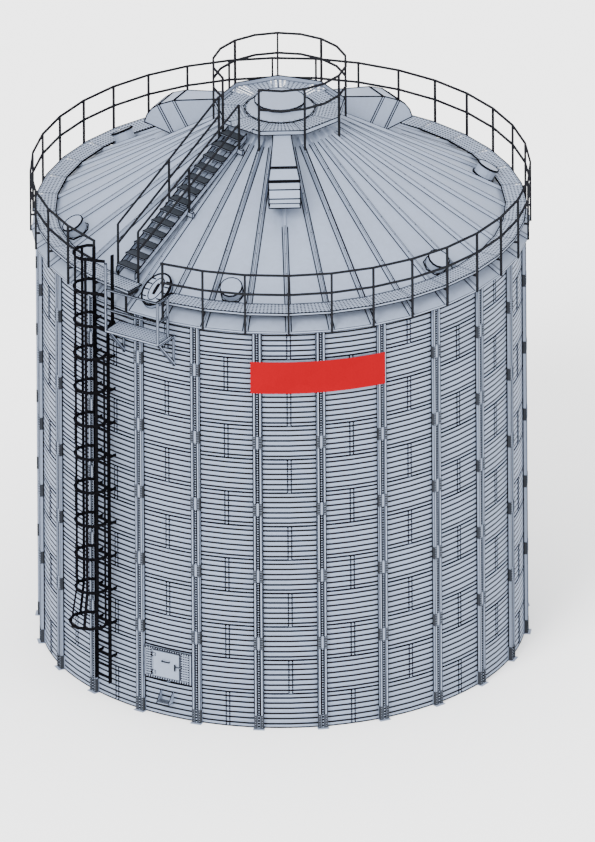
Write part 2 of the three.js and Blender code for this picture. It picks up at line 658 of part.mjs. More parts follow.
function roofManhole() {
  const { radius, long, wide, curb, lid, overhang, sink, sides } = manhole;
  const { half, halfLong, height } = manholeHandle;
  return joined([
    onRoof(oval(long, wide, sides), -sink, curb, radius),
    onRoof(oval(long + overhang, wide + overhang, sides), curb - 1, curb + lid, radius),
    onRoof([[-half, -halfLong], [half, -halfLong], [half, halfLong], [-half, halfLong]],
      curb, curb + height, radius),
  ]).subtract(roofKeepOutBetween);
}

// The door frame is flat in front and follows the wall facets behind
const doorFront = wall.radius + door.depth;
const leafFront = doorFront + leaf.gap + leaf.thickness;
const doorAxis = { side: leaf.left, out: leafFront + hinge.stand };

function upright(radius, side, out, z0, z1, sides) {
  const geometry = new THREE.CylinderGeometry(radius, radius, z1 - z0, sides);
  geometry.rotateX(Math.PI / 2);
  geometry.translate(side, -out, (z0 + z1) / 2);
  return solidOf(geometry);
}

function doorFrame() {
  const plate = block(-door.half, door.half, wall.radius - door.back, doorFront, door.low, door.high);
  const clear = block(doorway.left, doorway.right, 0, far, doorway.low, doorway.high);
  const { side, out } = doorAxis;
  const pins = hinge.z.flatMap((z) => {
    const knuckleLow = z - hinge.height / 2;
    return [
      upright(hinge.pin, side, out, knuckleLow - hinge.pinBelow, z + hinge.height / 2, hinge.sides),
      block(side - hinge.knuckle, side + hinge.knuckle, doorFront - 2, out + hinge.knuckle,
        knuckleLow - hinge.lug, knuckleLow),
    ];
  });
  const [keeperNear, keeperFar] = latch.keeper.map((gap) => leaf.right + gap);
  const keeper = block(keeperNear, keeperFar, doorFront - 2, leafFront + latch.half,
    latch.z - latch.bolt, latch.z + latch.bolt);
  return joined([plate.subtract(clear), ...pins, keeper]).subtract(wallKeepOut);
}

function doorLeaf() {
  const back = leafFront - leaf.thickness;
  const { side, out } = doorAxis;
  const panel = block(leaf.left + hinge.knuckle + leaf.gap, leaf.right, back, leafFront, leaf.low, leaf.high);
  const hinges = hinge.z.flatMap((z) => {
    const bottom = z - hinge.height / 2 + fit;
    const top = z + hinge.height / 2;
    return [
      upright(hinge.knuckle, side, out, bottom, top, hinge.sides),
      block(side, side + hinge.reach, leafFront - 1, leafFront + hinge.strap, bottom, top),
    ];
  });
  const bores = hinge.z.map((z) => upright(
    hinge.bore, side, out, z - hinge.height, z + hinge.height / 2 + 2, hinge.sides));
  const onLeaf = (side0, side1, stand, z0, z1) => block(
    side0, side1, leafFront - 1, leafFront + stand, z0, z1);
  const { size } = handle;
  const handleSpace = block(handle.left + size, handle.right - size,
    leafFront, leafFront + handle.stand - handle.bar, handle.z - 1, handle.z + size + 1);
  const handleBar = onLeaf(handle.left, handle.right, handle.stand, handle.z, handle.z + size)
    .subtract(handleSpace);
  const latchParts = [
    onLeaf(latch.side - latch.half + 2, latch.side + latch.half - 2, latch.stand - 2,
      latch.z - latch.half, latch.z + latch.half),
    block(latch.side - latch.half, latch.side + latch.half,
      leafFront + latch.stand - latch.half, leafFront + latch.stand, latch.low, latch.high),
    onLeaf(latch.side, leaf.right - 2, latch.half, latch.z - latch.bolt / 2, latch.z + latch.bolt / 2),
  ];
  return joined([panel, ...hinges, handleBar, ...latchParts]).subtract(joined(bores));
}

function doorStep() {
  const back = wall.radius - step.back;
  const front = wall.radius + step.out;
  const sides = [-1, 1].map((sign) => {
    const outside = step.side + sign * step.half;
    const inside = step.side + sign * (step.half - step.sheet);
    return gusset([
      [back, step.low], [front, step.low], [front, step.treadZ],
      [wall.radius + step.apexOut, step.apexZ], [back, step.apexZ],
    ], Math.min(outside, inside), Math.max(outside, inside));
  });
  const treadBars = step.bars.map((out) => block(
    step.side - step.half + 1, step.side + step.half - 1, wall.radius + out,
    wall.radius + out + step.barWidth, step.treadZ - step.barHeight, step.treadZ));
  return joined([...sides, ...treadBars]).subtract(wallKeepOut);
}

function signPanel() {
  const inner = (facetApothem + stiffener.depth + fit) / Math.cos(rad(wall.facet / 2));
  return band(panelSign.from, panelSign.to, inner, inner + panelSign.sheet, panelSign.low, panelSign.high);
}

const galvanised = { color: 0xb5bdcc, roughness: 0.45, metalness: 0.7 };
const darkSteel = { color: 0x1b1d20, roughness: 0.6, metalness: 0.4 };
const paintedRed = { color: 0xdc0a14, roughness: 0.4, metalness: 0 };

const silo = new THREE.Group();

function addPiece(name, solid, angle, finish, parent = silo) {
  const mesh = new THREE.Mesh(geometryOf(solid), new THREE.MeshStandardMaterial(finish));
  mesh.name = name;
  mesh.rotation.z = rad(angle);
  parent.add(mesh);
}

// Wall: twelve panels with two stiffeners each, and the door's panel split around it
const wallGroup = new THREE.Group();
silo.add(wallGroup);
const panels = 360 / wall.panel;
const halfDoorway = door.split - 0.0032;
const halfPanel = wall.panel / 2 - 0.0016;
const plainPanel = wallPanel(-halfPanel, halfPanel, 0, wall.height, [-stiffener.angle, stiffener.angle]);
for (let i = 0; i < panels; i += 1) {
  const middle = i * wall.panel;
  if (middle !== door.angle + 360) {
    addPiece(`wall_panel_${String(i + 1).padStart(2, '0')}`, plainPanel, middle, galvanised, wallGroup);
  }
}
const doorPanels = {
  left: wallPanel(-halfPanel, -door.split, 0, wall.height, [-stiffener.angle]),
  right: wallPanel(door.split, halfPanel, 0, wall.height, [stiffener.angle]),
  below: wallPanel(-halfDoorway, halfDoorway, 0, doorway.low, []),
  above: wallPanel(-halfDoorway, halfDoorway, doorway.high, wall.height, []),
};
Object.entries(doorPanels).forEach(([name, solid]) => {
  addPiece(`door_panel_${name}`, solid, door.angle, galvanised, wallGroup);
});

// Roof
const roofGroup = new THREE.Group();
silo.add(roofGroup);
const sector = roofSector();
for (let i = 0; i < roofSectors; i += 1) {
  addPiece(`roof_sector_${i + 1}`, sector, sectorStart + i * 360 / roofSectors, galvanised, roofGroup);
}
const ventSolid = roofVent();
ventAngles.forEach((angle, i) => addPiece(`roof_vent_${i + 1}`, ventSolid, angle, galvanised, roofGroup));
const hoodSolid = ventHood();
hoodAngles.forEach((angle, i) => addPiece(`vent_hood_${i + 1}`, hoodSolid, angle, galvanised, roofGroup));
addPiece('roof_manhole', roofManhole(), manhole.angle, galvanised, roofGroup);
addPiece('peak_collar', peakCollar(), 0, galvanised, roofGroup);
addPiece('fill_cap', fillCap(), 0, galvanised, roofGroup);

// Platforms, railings, stair and ladder
const accessGroup = new THREE.Group();
silo.add(accessGroup);
addPiece('peak_platform', peakPlatform(), 0, galvanised, accessGroup);
addPiece('peak_railing', peakRailing(), 0, galvanised, accessGroup);
walkwayArcs.forEach(([name, from, to]) => {
  addPiece(`eave_walkway_${name}`, walkwayArc(from, to), 0, galvanised, accessGroup);
});
eaveRailArcs.forEach(([name, from, to]) => {
  addPiece(`eave_railing_${name}`, eaveRailing(from, to), 0, galvanised, accessGroup);
});
addPiece('eave_foot', eavePost(bearerTop), shortFootAngle, galvanised, accessGroup);
addPiece('roof_stair', roofStair(), stair.angle, galvanised, accessGroup);
addPiece('stair_rail_left', stairHandrail(-1), stair.angle, galvanised, accessGroup);
addPiece('stair_rail_right', stairHandrail(1), stair.angle, galvanised, accessGroup);
addPiece('access_ladder', accessLadder(), ladder.angle, darkSteel, accessGroup);
addPiece('ladder_cage', ladderCage(), ladder.angle, darkSteel, accessGroup);
addPiece('rest_platform', restPlatform(), rest.angle, galvanised, accessGroup);

// Door, step and sign panel
addPiece('door_frame', doorFrame(), door.angle, galvanised);
addPiece('door_leaf', doorLeaf(), door.angle, galvanised);
addPiece('door_step', doorStep(), door.angle, galvanised);
addPiece('sign_panel', signPanel(), 0, paintedRed);

export default silo;
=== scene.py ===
# Grain silo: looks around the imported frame. Metres, +Z up, ground at z = 0, front at -Y.
# Angles are in degrees around the axis: 0 is the front, and they grow towards +X.

import math

import bmesh
import bpy
from mathutils import Matrix, Vector


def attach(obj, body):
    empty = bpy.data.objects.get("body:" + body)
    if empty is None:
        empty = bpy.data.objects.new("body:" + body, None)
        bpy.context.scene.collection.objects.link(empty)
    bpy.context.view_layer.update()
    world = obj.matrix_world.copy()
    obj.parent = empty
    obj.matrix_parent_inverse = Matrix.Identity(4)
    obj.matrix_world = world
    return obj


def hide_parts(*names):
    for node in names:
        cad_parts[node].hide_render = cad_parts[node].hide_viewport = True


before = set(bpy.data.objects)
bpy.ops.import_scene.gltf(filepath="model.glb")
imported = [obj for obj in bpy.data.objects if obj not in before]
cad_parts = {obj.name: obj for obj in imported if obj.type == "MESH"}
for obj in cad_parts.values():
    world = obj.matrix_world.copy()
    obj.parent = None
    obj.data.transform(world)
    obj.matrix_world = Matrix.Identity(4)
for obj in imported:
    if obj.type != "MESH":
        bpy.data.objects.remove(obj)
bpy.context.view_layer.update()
silo, doorBody = "silo", "door"
print("frame loaded:", len(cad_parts), "nodes")

wall = {"radius": 5.35, "ring": 0.822, "firstRing": 0.02, "rings": 12, "top": 9.797, "panels": 12}
panelAngle = 360 / wall["panels"]
bayAngle = panelAngle / 2
bays = 2 * wall["panels"]
roof = {"eaveRadius": 5.513, "eaveZ": 9.81, "pitch": 0.5965}
roofSlope = math.atan(roof["pitch"])


def roofTop(radius):
    return roof["eaveZ"] + (roof["eaveRadius"] - radius) * roof["pitch"]


def polar(angle, radius, z):
    turn = math.radians(angle)
    return Vector((radius * math.sin(turn), -radius * math.cos(turn), z))


def seenFrom(angle, side, out, z):
    # a point given as seen at one angle: sideways, out from the axis, up
    return Matrix.Rotation(math.radians(angle), 3, "Z") @ Vector((side, -out, z))


# pieces and meshes

def addPiece(name, mesh, body, replaced=()):
    piece = bpy.data.objects.new(name, mesh)
    bpy.context.scene.collection.objects.link(piece)
    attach(piece, body)
    if replaced:
        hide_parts(*replaced)
    return piece


def finishedMesh(name, shape, material=None):
    mesh = bpy.data.meshes.new(name)
    shape.to_mesh(mesh)
    shape.free()
    if material:
        mesh.materials.append(material)
    return mesh


def joinedMesh(name, meshes, material=None):
    shape = bmesh.new()
    for mesh in meshes:
        shape.from_mesh(mesh)
    return finishedMesh(name, shape, material)


def closedMesh(name, parts, material):
    # parts are (points, faces); they are joined and turned to face outwards
    shape = bmesh.new()
    for points, faces in parts:
        corners = [shape.verts.new(point) for point in points]
        for face in faces:
            shape.faces.new([corners[i] for i in face])
    bmesh.ops.recalc_face_normals(shape, faces=shape.faces)
    return finishedMesh(name, shape, material)


def extruded(outline, vector):
    # closed prism: a ring of points moved along a vector
    count = len(outline)
    far = [point + vector for point in outline]
    sides = [(i, (i + 1) % count, count + (i + 1) % count, count + i) for i in range(count)]
    return outline + far, [tuple(range(count)), tuple(reversed(range(count, 2 * count))), *sides]


def boxAt(angle, side0, side1, out0, out1, z0, z1):
    near, far = sorted((side0, side1))
    outline = [seenFrom(angle, side, out, z0) for side, out in
               ((near, out0), (far, out0), (far, out1), (near, out1))]
    return extruded(outline, Vector((0, 0, z1 - z0)))


def sweptRing(path, radius, sides, up):
    # round tube along a closed path, with mitred corners
    points, faces, count = [], [], len(path)
    for i, point in enumerate(path):
        into = (point - path[i - 1]).normalized()
        away = (path[(i + 1) % count] - point).normalized()
        tangent = (into + away).normalized()
        widened = 1 / into.dot(tangent)
        sideways = tangent.cross(up).normalized()
        upwards = sideways.cross(tangent)
        for k in range(sides):
            turn = 2 * math.pi * (k + 0.5) / sides
            offset = math.cos(turn) * sideways * widened + math.sin(turn) * upwards
            points.append(point + radius * offset)
    for i in range(count):
        here, ahead = i * sides, (i + 1) % count * sides
        for k in range(sides):
            nextSide = (k + 1) % sides
            faces.append((here + k, here + nextSide, ahead + nextSide, ahead + k))
    return points, faces


# geometry node trees

def addTree(name, inputs):
    tree = bpy.data.node_groups.new(name, "GeometryNodeTree")
    tree.interface.new_socket("Geometry", in_out="INPUT", socket_type="NodeSocketGeometry")
    for label, kind in inputs:
        tree.interface.new_socket(label, in_out="INPUT", socket_type="NodeSocket" + kind)
    tree.interface.new_socket("Finish", in_out="INPUT", socket_type="NodeSocketMaterial")
    tree.interface.new_socket("Geometry", in_out="OUTPUT", socket_type="NodeSocketGeometry")
    return tree


def addNode(tree, kind, feeds=None, **settings):
    node = tree.nodes.new(kind)
    for key, value in settings.items():
        setattr(node, key, value)
    for key, value in (feeds or {}).items():
        if isinstance(value, bpy.types.NodeSocket):
            tree.links.new(value, node.inputs[key])
        else:
            node.inputs[key].default_value = value
    return node


def maths(tree, operation, *values):
    return addNode(tree, "ShaderNodeMath", dict(enumerate(values)), operation=operation).outputs[0]


def product(tree, first, *others):
    for value in others:
        first = maths(tree, "MULTIPLY", first, value)
    return first


def finishTree(tree, start, geometry):
    real = addNode(tree, "GeometryNodeRealizeInstances", {0: geometry}).outputs[0]
    coated = addNode(tree, "GeometryNodeSetMaterial", {"Geometry": real, "Material": start["Finish"]})
    addNode(tree, "NodeGroupOutput", {0: coated.outputs[0]})


def grow(name, tree, carrier, values, paint, body=silo):
    # runs a tree on a carrier mesh and keeps the plain mesh
    holder = bpy.data.objects.new(name + "Carrier", carrier)
    bpy.context.scene.collection.objects.link(holder)
    modifier = holder.modifiers.new("grow", "NODES")
    modifier.node_group = tree
    for item in tree.interface.items_tree:
        if item.in_out == "INPUT" and item.name in values:
            modifier[item.identifier] = values[item.name]
        elif item.in_out == "INPUT" and item.name == "Finish":
            modifier[item.identifier] = finish[paint]
    bpy.context.view_layer.update()
    graph = bpy.context.evaluated_depsgraph_get()
    mesh = bpy.data.meshes.new_from_object(holder.evaluated_get(graph))
    mesh.name = name
    mesh.materials.clear()
    mesh.materials.append(finish[paint])
    mesh.polygons.foreach_set("material_index", [0] * len(mesh.polygons))
    holder.modifiers.remove(modifier)
    bpy.data.objects.remove(holder)
    print("  grown", name, len(mesh.polygons), "faces")
    return addPiece(name, mesh, body)


def addClosed(name, parts, paint, body=silo):
    return addPiece(name, closedMesh(name, parts, finish[paint]), body)


def pointMesh(name, spots):
    # spots are (place, facing)
    mesh = bpy.data.meshes.new(name)
    mesh.from_pydata([spot[0] for spot in spots], [], [])
    facing = mesh.attributes.new("facing", "FLOAT_VECTOR", "POINT")
    facing.data.foreach_set("vector", [value for spot in spots for value in spot[1]])
    return mesh


weld = {"sheet": 0.0002, "carried": 0.0004}
boltHead = {"corners": 6, "topShare": 0.8}
holeCorners = 8


def positionParts(tree):
    place = addNode(tree, "GeometryNodeInputPosition")
    return addNode(tree, "ShaderNodeSeparateXYZ", {0: place.outputs[0]}).outputs


def unitGrid(tree, start):
    grid = addNode(tree, "GeometryNodeMeshGrid", {
        "Size X": 1.0, "Size Y": 1.0, "Vertices X": start["Columns"], "Vertices Y": start["Rows"]})
    return grid.outputs["Mesh"]


def moved(tree, geometry, place):
    return addNode(tree, "GeometryNodeSetPosition", {"Geometry": geometry, "Position": place}).outputs[0]


def joined(tree, first, second):
    both = addNode(tree, "GeometryNodeJoinGeometry", {0: first})
    tree.links.new(second, both.inputs[0])
    return both.outputs[0]


def welded(tree, geometry, distance):
    merged = addNode(tree, "GeometryNodeMergeByDistance", {"Geometry": geometry, "Distance": distance})
    return merged.outputs[0]


def thickened(tree, sheet, thickness):
    # a sheet without thickness becomes a closed one
    front = addNode(tree, "GeometryNodeExtrudeMesh", {
        "Mesh": sheet, "Offset Scale": thickness, "Individual": False}, mode="FACES").outputs[0]
    back = addNode(tree, "GeometryNodeFlipFaces", {0: sheet}).outputs[0]
    return welded(tree, joined(tree, front, back), weld["sheet"])


def onPoints(tree, mesh, shape, **turn):
    cloud = addNode(tree, "GeometryNodeMeshToPoints", {"Mesh": mesh}).outputs[0]
    copies = addNode(tree, "GeometryNodeInstanceOnPoints", {"Points": cloud, "Instance": shape, **turn})
    return copies.outputs[0]


def pointFacing(tree):
    facing = addNode(tree, "GeometryNodeInputNamedAttribute", {"Name": "facing"}, data_type="FLOAT_VECTOR")
    return facing.outputs[0]


def boltTree():
    # hex heads standing on points, along each point's facing
    tree = addTree("boltHeads", [("Width", "Float"), ("Height", "Float")])
    start = addNode(tree, "NodeGroupInput").outputs
    radius = maths(tree, "MULTIPLY", start["Width"], 0.5)
    head = addNode(tree, "GeometryNodeMeshCone", {
        "Vertices": boltHead["corners"], "Radius Top": maths(tree, "MULTIPLY", radius, boltHead["topShare"]),
        "Radius Bottom": radius, "Depth": start["Height"]}).outputs["Mesh"]
    turn = addNode(tree, "FunctionNodeAlignRotationToVector", {"Vector": pointFacing(tree)}, axis="Z")
    finishTree(tree, start, onPoints(tree, start["Geometry"], head, Rotation=turn.outputs[0]))
    return tree


def sheetTree():
    # corrugated sheet bent round the wall
    tree = addTree("corrugatedSheet", [
        ("Radius", "Float"), ("From", "Float"), ("To", "Float"), ("Low", "Float"), ("High", "Float"),
        ("Pitch", "Float"), ("Start", "Float"), ("Depth", "Float"), ("Thickness", "Float"),
        ("Columns", "Int"), ("Rows", "Int"), ("Cut angle", "Float"), ("Cut side", "Float"),
        ("Cut low", "Float"), ("Cut high", "Float")])
    start = addNode(tree, "NodeGroupInput").outputs
    parts = positionParts(tree)
    across = maths(tree, "ADD", parts["X"], 0.5)
    upward = maths(tree, "ADD", parts["Y"], 0.5)
    spread = maths(tree, "SUBTRACT", start["To"], start["From"])
    angle = maths(tree, "RADIANS", maths(tree, "MULTIPLY_ADD", across, spread, start["From"]))
    rise = maths(tree, "SUBTRACT", start["High"], start["Low"])
    z = maths(tree, "MULTIPLY_ADD", upward, rise, start["Low"])
    phase = maths(tree, "DIVIDE", maths(tree, "SUBTRACT", z, start["Start"]), start["Pitch"])
    wave = maths(tree, "COSINE", maths(tree, "MULTIPLY", phase, 2 * math.pi))
    radius = maths(tree, "SUBTRACT", start["Radius"], maths(tree, "MULTIPLY", wave, start["Depth"]))
    x = product(tree, radius, maths(tree, "SINE", angle))
    y = product(tree, radius, maths(tree, "COSINE", angle), -1.0)
    bent = addNode(tree, "ShaderNodeCombineXYZ", {0: x, 1: y, 2: z}).outputs[0]
    sheet = moved(tree, unitGrid(tree, start), bent)
    # the opening is cut where the sheet passes behind the door's frame
    placed = positionParts(tree)
    cutTurn = maths(tree, "RADIANS", start["Cut angle"])
    cosine, sine = maths(tree, "COSINE", cutTurn), maths(tree, "SINE", cutTurn)
    side = maths(tree, "ADD", product(tree, placed["X"], cosine), product(tree, placed["Y"], sine))
    out = maths(tree, "SUBTRACT", product(tree, placed["X"], sine), product(tree, placed["Y"], cosine))
    inSide = maths(tree, "LESS_THAN", maths(tree, "ABSOLUTE", side), start["Cut side"])
    inFront = maths(tree, "GREATER_THAN", out, 0.0)
    overLow = maths(tree, "GREATER_THAN", placed["Z"], start["Cut low"])
    underHigh = maths(tree, "LESS_THAN", placed["Z"], start["Cut high"])
    kept = addNode(tree, "GeometryNodeDeleteGeometry", {
        "Geometry": sheet, "Selection": product(tree, inSide, inFront, overLow, underHigh)}, domain="FACE")
    finishTree(tree, start, thickened(tree, kept.outputs[0], start["Thickness"]))
    return tree


def perforatedTree():
    # flat plate with rows of holes, narrower at one end, repeated on points that carry a turn
    tree = addTree("perforatedPlate", [
        ("Width", "Float"), ("End width", "Float"), ("Length", "Float"), ("Thickness", "Float"),
        ("Hole", "Float"), ("Columns", "Int"), ("Rows", "Int"), ("Margin", "Float")])
    start = addNode(tree, "NodeGroupInput").outputs
    parts = positionParts(tree)
    inset = maths(tree, "MULTIPLY", start["Margin"], 2.0)
    along = maths(tree, "MULTIPLY", parts["Y"], maths(tree, "SUBTRACT", start["Length"], inset))
    change = maths(tree, "SUBTRACT", start["End width"], start["Width"])
    share = maths(tree, "ADD", maths(tree, "DIVIDE", along, start["Length"]), 0.5)
    widthHere = maths(tree, "MULTIPLY_ADD", share, change, start["Width"])
    sideways = maths(tree, "MULTIPLY", parts["X"], maths(tree, "SUBTRACT", widthHere, inset))
    spot = addNode(tree, "ShaderNodeCombineXYZ", {0: sideways, 1: along}).outputs[0]
    spots = moved(tree, unitGrid(tree, start), spot)
    holeRadius = maths(tree, "MULTIPLY", start["Hole"], 0.5)
    circle = addNode(tree, "GeometryNodeCurvePrimitiveCircle", {
        "Resolution": holeCorners, "Radius": holeRadius}, mode="RADIUS").outputs[0]
    holes = addNode(tree, "GeometryNodeRealizeInstances", {0: onPoints(tree, spots, circle)}).outputs[0]
    rim = addNode(tree, "GeometryNodeCurvePrimitiveQuadrilateral", {
        "Bottom Width": start["Width"], "Top Width": start["End width"], "Height": start["Length"],
        "Offset": 0.0}, mode="TRAPEZOID").outputs[0]
    face = addNode(tree, "GeometryNodeFillCurve", {0: joined(tree, holes, rim)}, mode="TRIANGLES").outputs[0]
    plate = thickened(tree, face, start["Thickness"])
    turn = addNode(tree, "FunctionNodeEulerToRotation", {0: pointFacing(tree)}).outputs[0]
    finishTree(tree, start, onPoints(tree, start["Geometry"], plate, Rotation=turn))
    return tree


def edgeShadeTree():
    # painted shade: dark beads along the sharp edges and creases of a mesh
    tree = addTree("edgeShadeBeads", [("Angle", "Float"), ("Size", "Float")])
    start = addNode(tree, "NodeGroupInput").outputs
    whole = welded(tree, start["Geometry"], weld["carried"])
    bend = addNode(tree, "GeometryNodeInputMeshEdgeAngle").outputs["Unsigned Angle"]
    sharp = maths(tree, "GREATER_THAN", bend, start["Angle"])
    lines = addNode(tree, "GeometryNodeMeshToCurve", {"Mesh": whole, "Selection": sharp})
    profile = addNode(tree, "GeometryNodeCurvePrimitiveQuadrilateral", {
        "Width": start["Size"], "Height": start["Size"]}, mode="RECTANGLE")
    beads = addNode(tree, "GeometryNodeCurveToMesh", {
        "Curve": lines.outputs[0], "Profile Curve": profile.outputs[0], "Fill Caps": True})
    finishTree(tree, start, beads.outputs[0])
    return tree


bolts, sheets, plates, edgeShade = boltTree(), sheetTree(), perforatedTree(), edgeShadeTree()
print("node trees ready")


def growBolts(name, spots, width, height, paint="bolt", body=silo):
    return grow(name, bolts, pointMesh(name + "Spots", spots), {"Width": width, "Height": height},
                paint, body)


def growPlates(name, spots, widths, length, look, paint):
    # widths are those of the plate's outer and inner end; look holds its sheet and holes
    return grow(name, plates, pointMesh(name + "Spots", spots), {
        "Width": widths[0], "End width": widths[1], "Length": length, "Thickness": look["sheet"],
        "Hole": look["hole"], "Columns": look["columns"], "Rows": look["rows"],
        "Margin": look["margin"]}, paint)


# finishes

corrugation = {
    "pitch": 0.1264, "depth": 0.0055, "radius": 5.3575, "thickness": 0.0012, "stepsPerWave": 8,
    "columns": 7, "seamColumns": 3, "firstGroove": 0.08, "lapRise": 0.0024, "overlap": 0.012,
    "seamHalf": 0.052, "seamRise": 0.0026, "foot": 0.003, "sharpAngle": 40,
    "lineHalf": 0.021, "lineSoft": 0.004,
}
weather = {
    "cloudScale": 0.9, "cloudDetail": 4.0, "cloudShare": 0.65, "spangleShare": 0.35,
    "streakStretch": (7.0, 7.0, 0.35), "streakDetail": 5.0, "roughSpread": 0.12,
    "bumpStrength": 0.05, "bumpDistance": 0.02,
}


def addGroup(name, inputs, outputs):
    group = bpy.data.node_groups.new(name, "ShaderNodeTree")
    for label, kind, value in inputs:
        socket = group.interface.new_socket(label, in_out="INPUT", socket_type="NodeSocket" + kind)
        socket.default_value = value
    for label, kind in outputs:
        group.interface.new_socket(label, in_out="OUTPUT", socket_type="NodeSocket" + kind)
    return group


def mixColour(tree, factor, first, second):
    node = addNode(tree, "ShaderNodeMix", {0: factor, 6: first, 7: second}, data_type="RGBA")
    return node.outputs[2]


def zincGroup():
    # spangle, cloudy patches and rain streaks of galvanised steel
    group = addGroup("zincSkin", [
        ("Light", "Color", (1, 1, 1, 1)), ("Dark", "Color", (0, 0, 0, 1)), ("Spangle size", "Float", 0.05),
        ("Streaks", "Float", 0.3), ("Shine", "Float", 0.4)],
        [("Colour", "Color"), ("Roughness", "Float"), ("Height", "Float")])
    start = addNode(group, "NodeGroupInput").outputs
    place = addNode(group, "ShaderNodeTexCoord").outputs["Object"]
    scale = maths(group, "DIVIDE", 1.0, start["Spangle size"])
    cells = addNode(group, "ShaderNodeTexVoronoi", {"Vector": place, "Scale": scale}, feature="F1")
    spangle = addNode(group, "ShaderNodeSeparateColor", {0: cells.outputs["Color"]}).outputs[0]
    cloud = addNode(group, "ShaderNodeTexNoise", {
        "Vector": place, "Scale": weather["cloudScale"], "Detail": weather["cloudDetail"]}).outputs[0]
    stretched = addNode(group, "ShaderNodeMapping", {
        "Vector": place, "Scale": weather["streakStretch"]}).outputs[0]
    streak = addNode(group, "ShaderNodeTexNoise", {
        "Vector": stretched, "Scale": 1.0, "Detail": weather["streakDetail"]}).outputs[0]
    spangles = maths(group, "MULTIPLY", spangle, weather["spangleShare"])
    clouds = maths(group, "MULTIPLY", cloud, weather["cloudShare"])
    drips = maths(group, "MULTIPLY", maths(group, "SUBTRACT", streak, 0.5), start["Streaks"])
    mixed = maths(group, "ADD", maths(group, "ADD", spangles, clouds), drips)
    factor = addNode(group, "ShaderNodeClamp", {0: mixed}).outputs[0]
    colour = mixColour(group, factor, start["Dark"], start["Light"])
    rough = maths(group, "MULTIPLY_ADD", spangle, weather["roughSpread"], start["Shine"])
    addNode(group, "NodeGroupOutput", {0: colour, 1: rough, 2: cloud})
    return group


zincSkin = zincGroup()


def valleyShadeGroup():
    # painted shade lines in the valleys of the corrugation, by height in each ring of sheets
    group = addGroup("valleyShadeLines", [
        ("Ring base", "Float", wall["firstRing"]), ("Ring height", "Float", wall["ring"]),
        ("First", "Float", corrugation["firstGroove"]), ("Pitch", "Float", corrugation["pitch"]),
        ("Half width", "Float", corrugation["lineHalf"]), ("Softness", "Float", corrugation["lineSoft"])],
        [("Mask", "Float")])
    start = addNode(group, "NodeGroupInput").outputs
    place = addNode(group, "ShaderNodeTexCoord").outputs["Object"]
    height = addNode(group, "ShaderNodeSeparateXYZ", {0: place}).outputs["Z"]
    above = maths(group, "SUBTRACT", height, start["Ring base"])
    inRing = maths(group, "FLOORED_MODULO", above, start["Ring height"])
    wave = maths(group, "DIVIDE", maths(group, "SUBTRACT", inRing, start["First"]), start["Pitch"])
    away = maths(group, "ABSOLUTE", maths(group, "SUBTRACT", wave, maths(group, "ROUND", wave)))
    distance = maths(group, "MULTIPLY", away, start["Pitch"])
    inside = maths(group, "SUBTRACT", maths(group, "ADD", start["Half width"], start["Softness"]), distance)
    mask = addNode(group, "ShaderNodeClamp", {0: maths(group, "DIVIDE", inside, start["Softness"])})
    addNode(group, "NodeGroupOutput", {0: mask.outputs[0]})
    return group


valleyShadeLines = valleyShadeGroup()


def addMaterial(name):
    material = bpy.data.materials.new(name)
    material.use_nodes = True
    tree = material.node_tree
    tree.nodes.clear()
    surface = tree.nodes.new("ShaderNodeBsdfPrincipled")
    addNode(tree, "ShaderNodeOutputMaterial", {0: surface.outputs[0]})
    return material, surface


def skinned(name, light, dark, spangle, streaks, shine, specular):
    # the zinc skin's pattern in two colours, which both kinds of steel start from
    material, surface = addMaterial(name)
    tree = material.node_tree
    skin = addNode(tree, "ShaderNodeGroup", {
        "Light": (*light, 1), "Dark": (*dark, 1), "Spangle size": spangle, "Streaks": streaks,
        "Shine": shine}, node_tree=zincSkin).outputs
    tree.links.new(skin["Roughness"], surface.inputs["Roughness"])
    surface.inputs["Specular IOR Level"].default_value = specular
    return material, tree, surface, skin


def galvanised(name, spangle=0.05, streaks=0.3, valleyShadeColour=None, specular=0.4):
    # bare zinc; with a valley shade colour, the valleys of the corrugation get painted shade, nearly black
    # and not metallic
    material, tree, surface, skin = skinned(
        name, zinc["light"], zinc["dark"], spangle, streaks, zinc["shine"], specular)
    colour = skin["Colour"]
    if valleyShadeColour:
        # painted shade: a near-black line in each valley of the corrugation
        valleyShade = addNode(tree, "ShaderNodeGroup", node_tree=valleyShadeLines).outputs["Mask"]
        colour = mixColour(tree, valleyShade, colour, (*valleyShadeColour, 1))
        unshaded = maths(tree, "SUBTRACT", 1.0, valleyShade)
        tree.links.new(maths(tree, "MULTIPLY", unshaded, zinc["metallic"]), surface.inputs["Metallic"])
    else:
        surface.inputs["Metallic"].default_value = zinc["metallic"]
    tree.links.new(colour, surface.inputs["Base Color"])
    bump = addNode(tree, "ShaderNodeBump", {
        "Height": skin["Height"], "Strength": weather["bumpStrength"], "Distance": weather["bumpDistance"]})
    tree.links.new(bump.outputs[0], surface.inputs["Normal"])
    return material


def painted(name, light, dark, shine, specular=0.0):
    material, tree, surface, skin = skinned(
        name, light, dark, coat["spangle"], coat["streaks"], shine, specular)
    tree.links.new(skin["Colour"], surface.inputs["Base Color"])
    return material


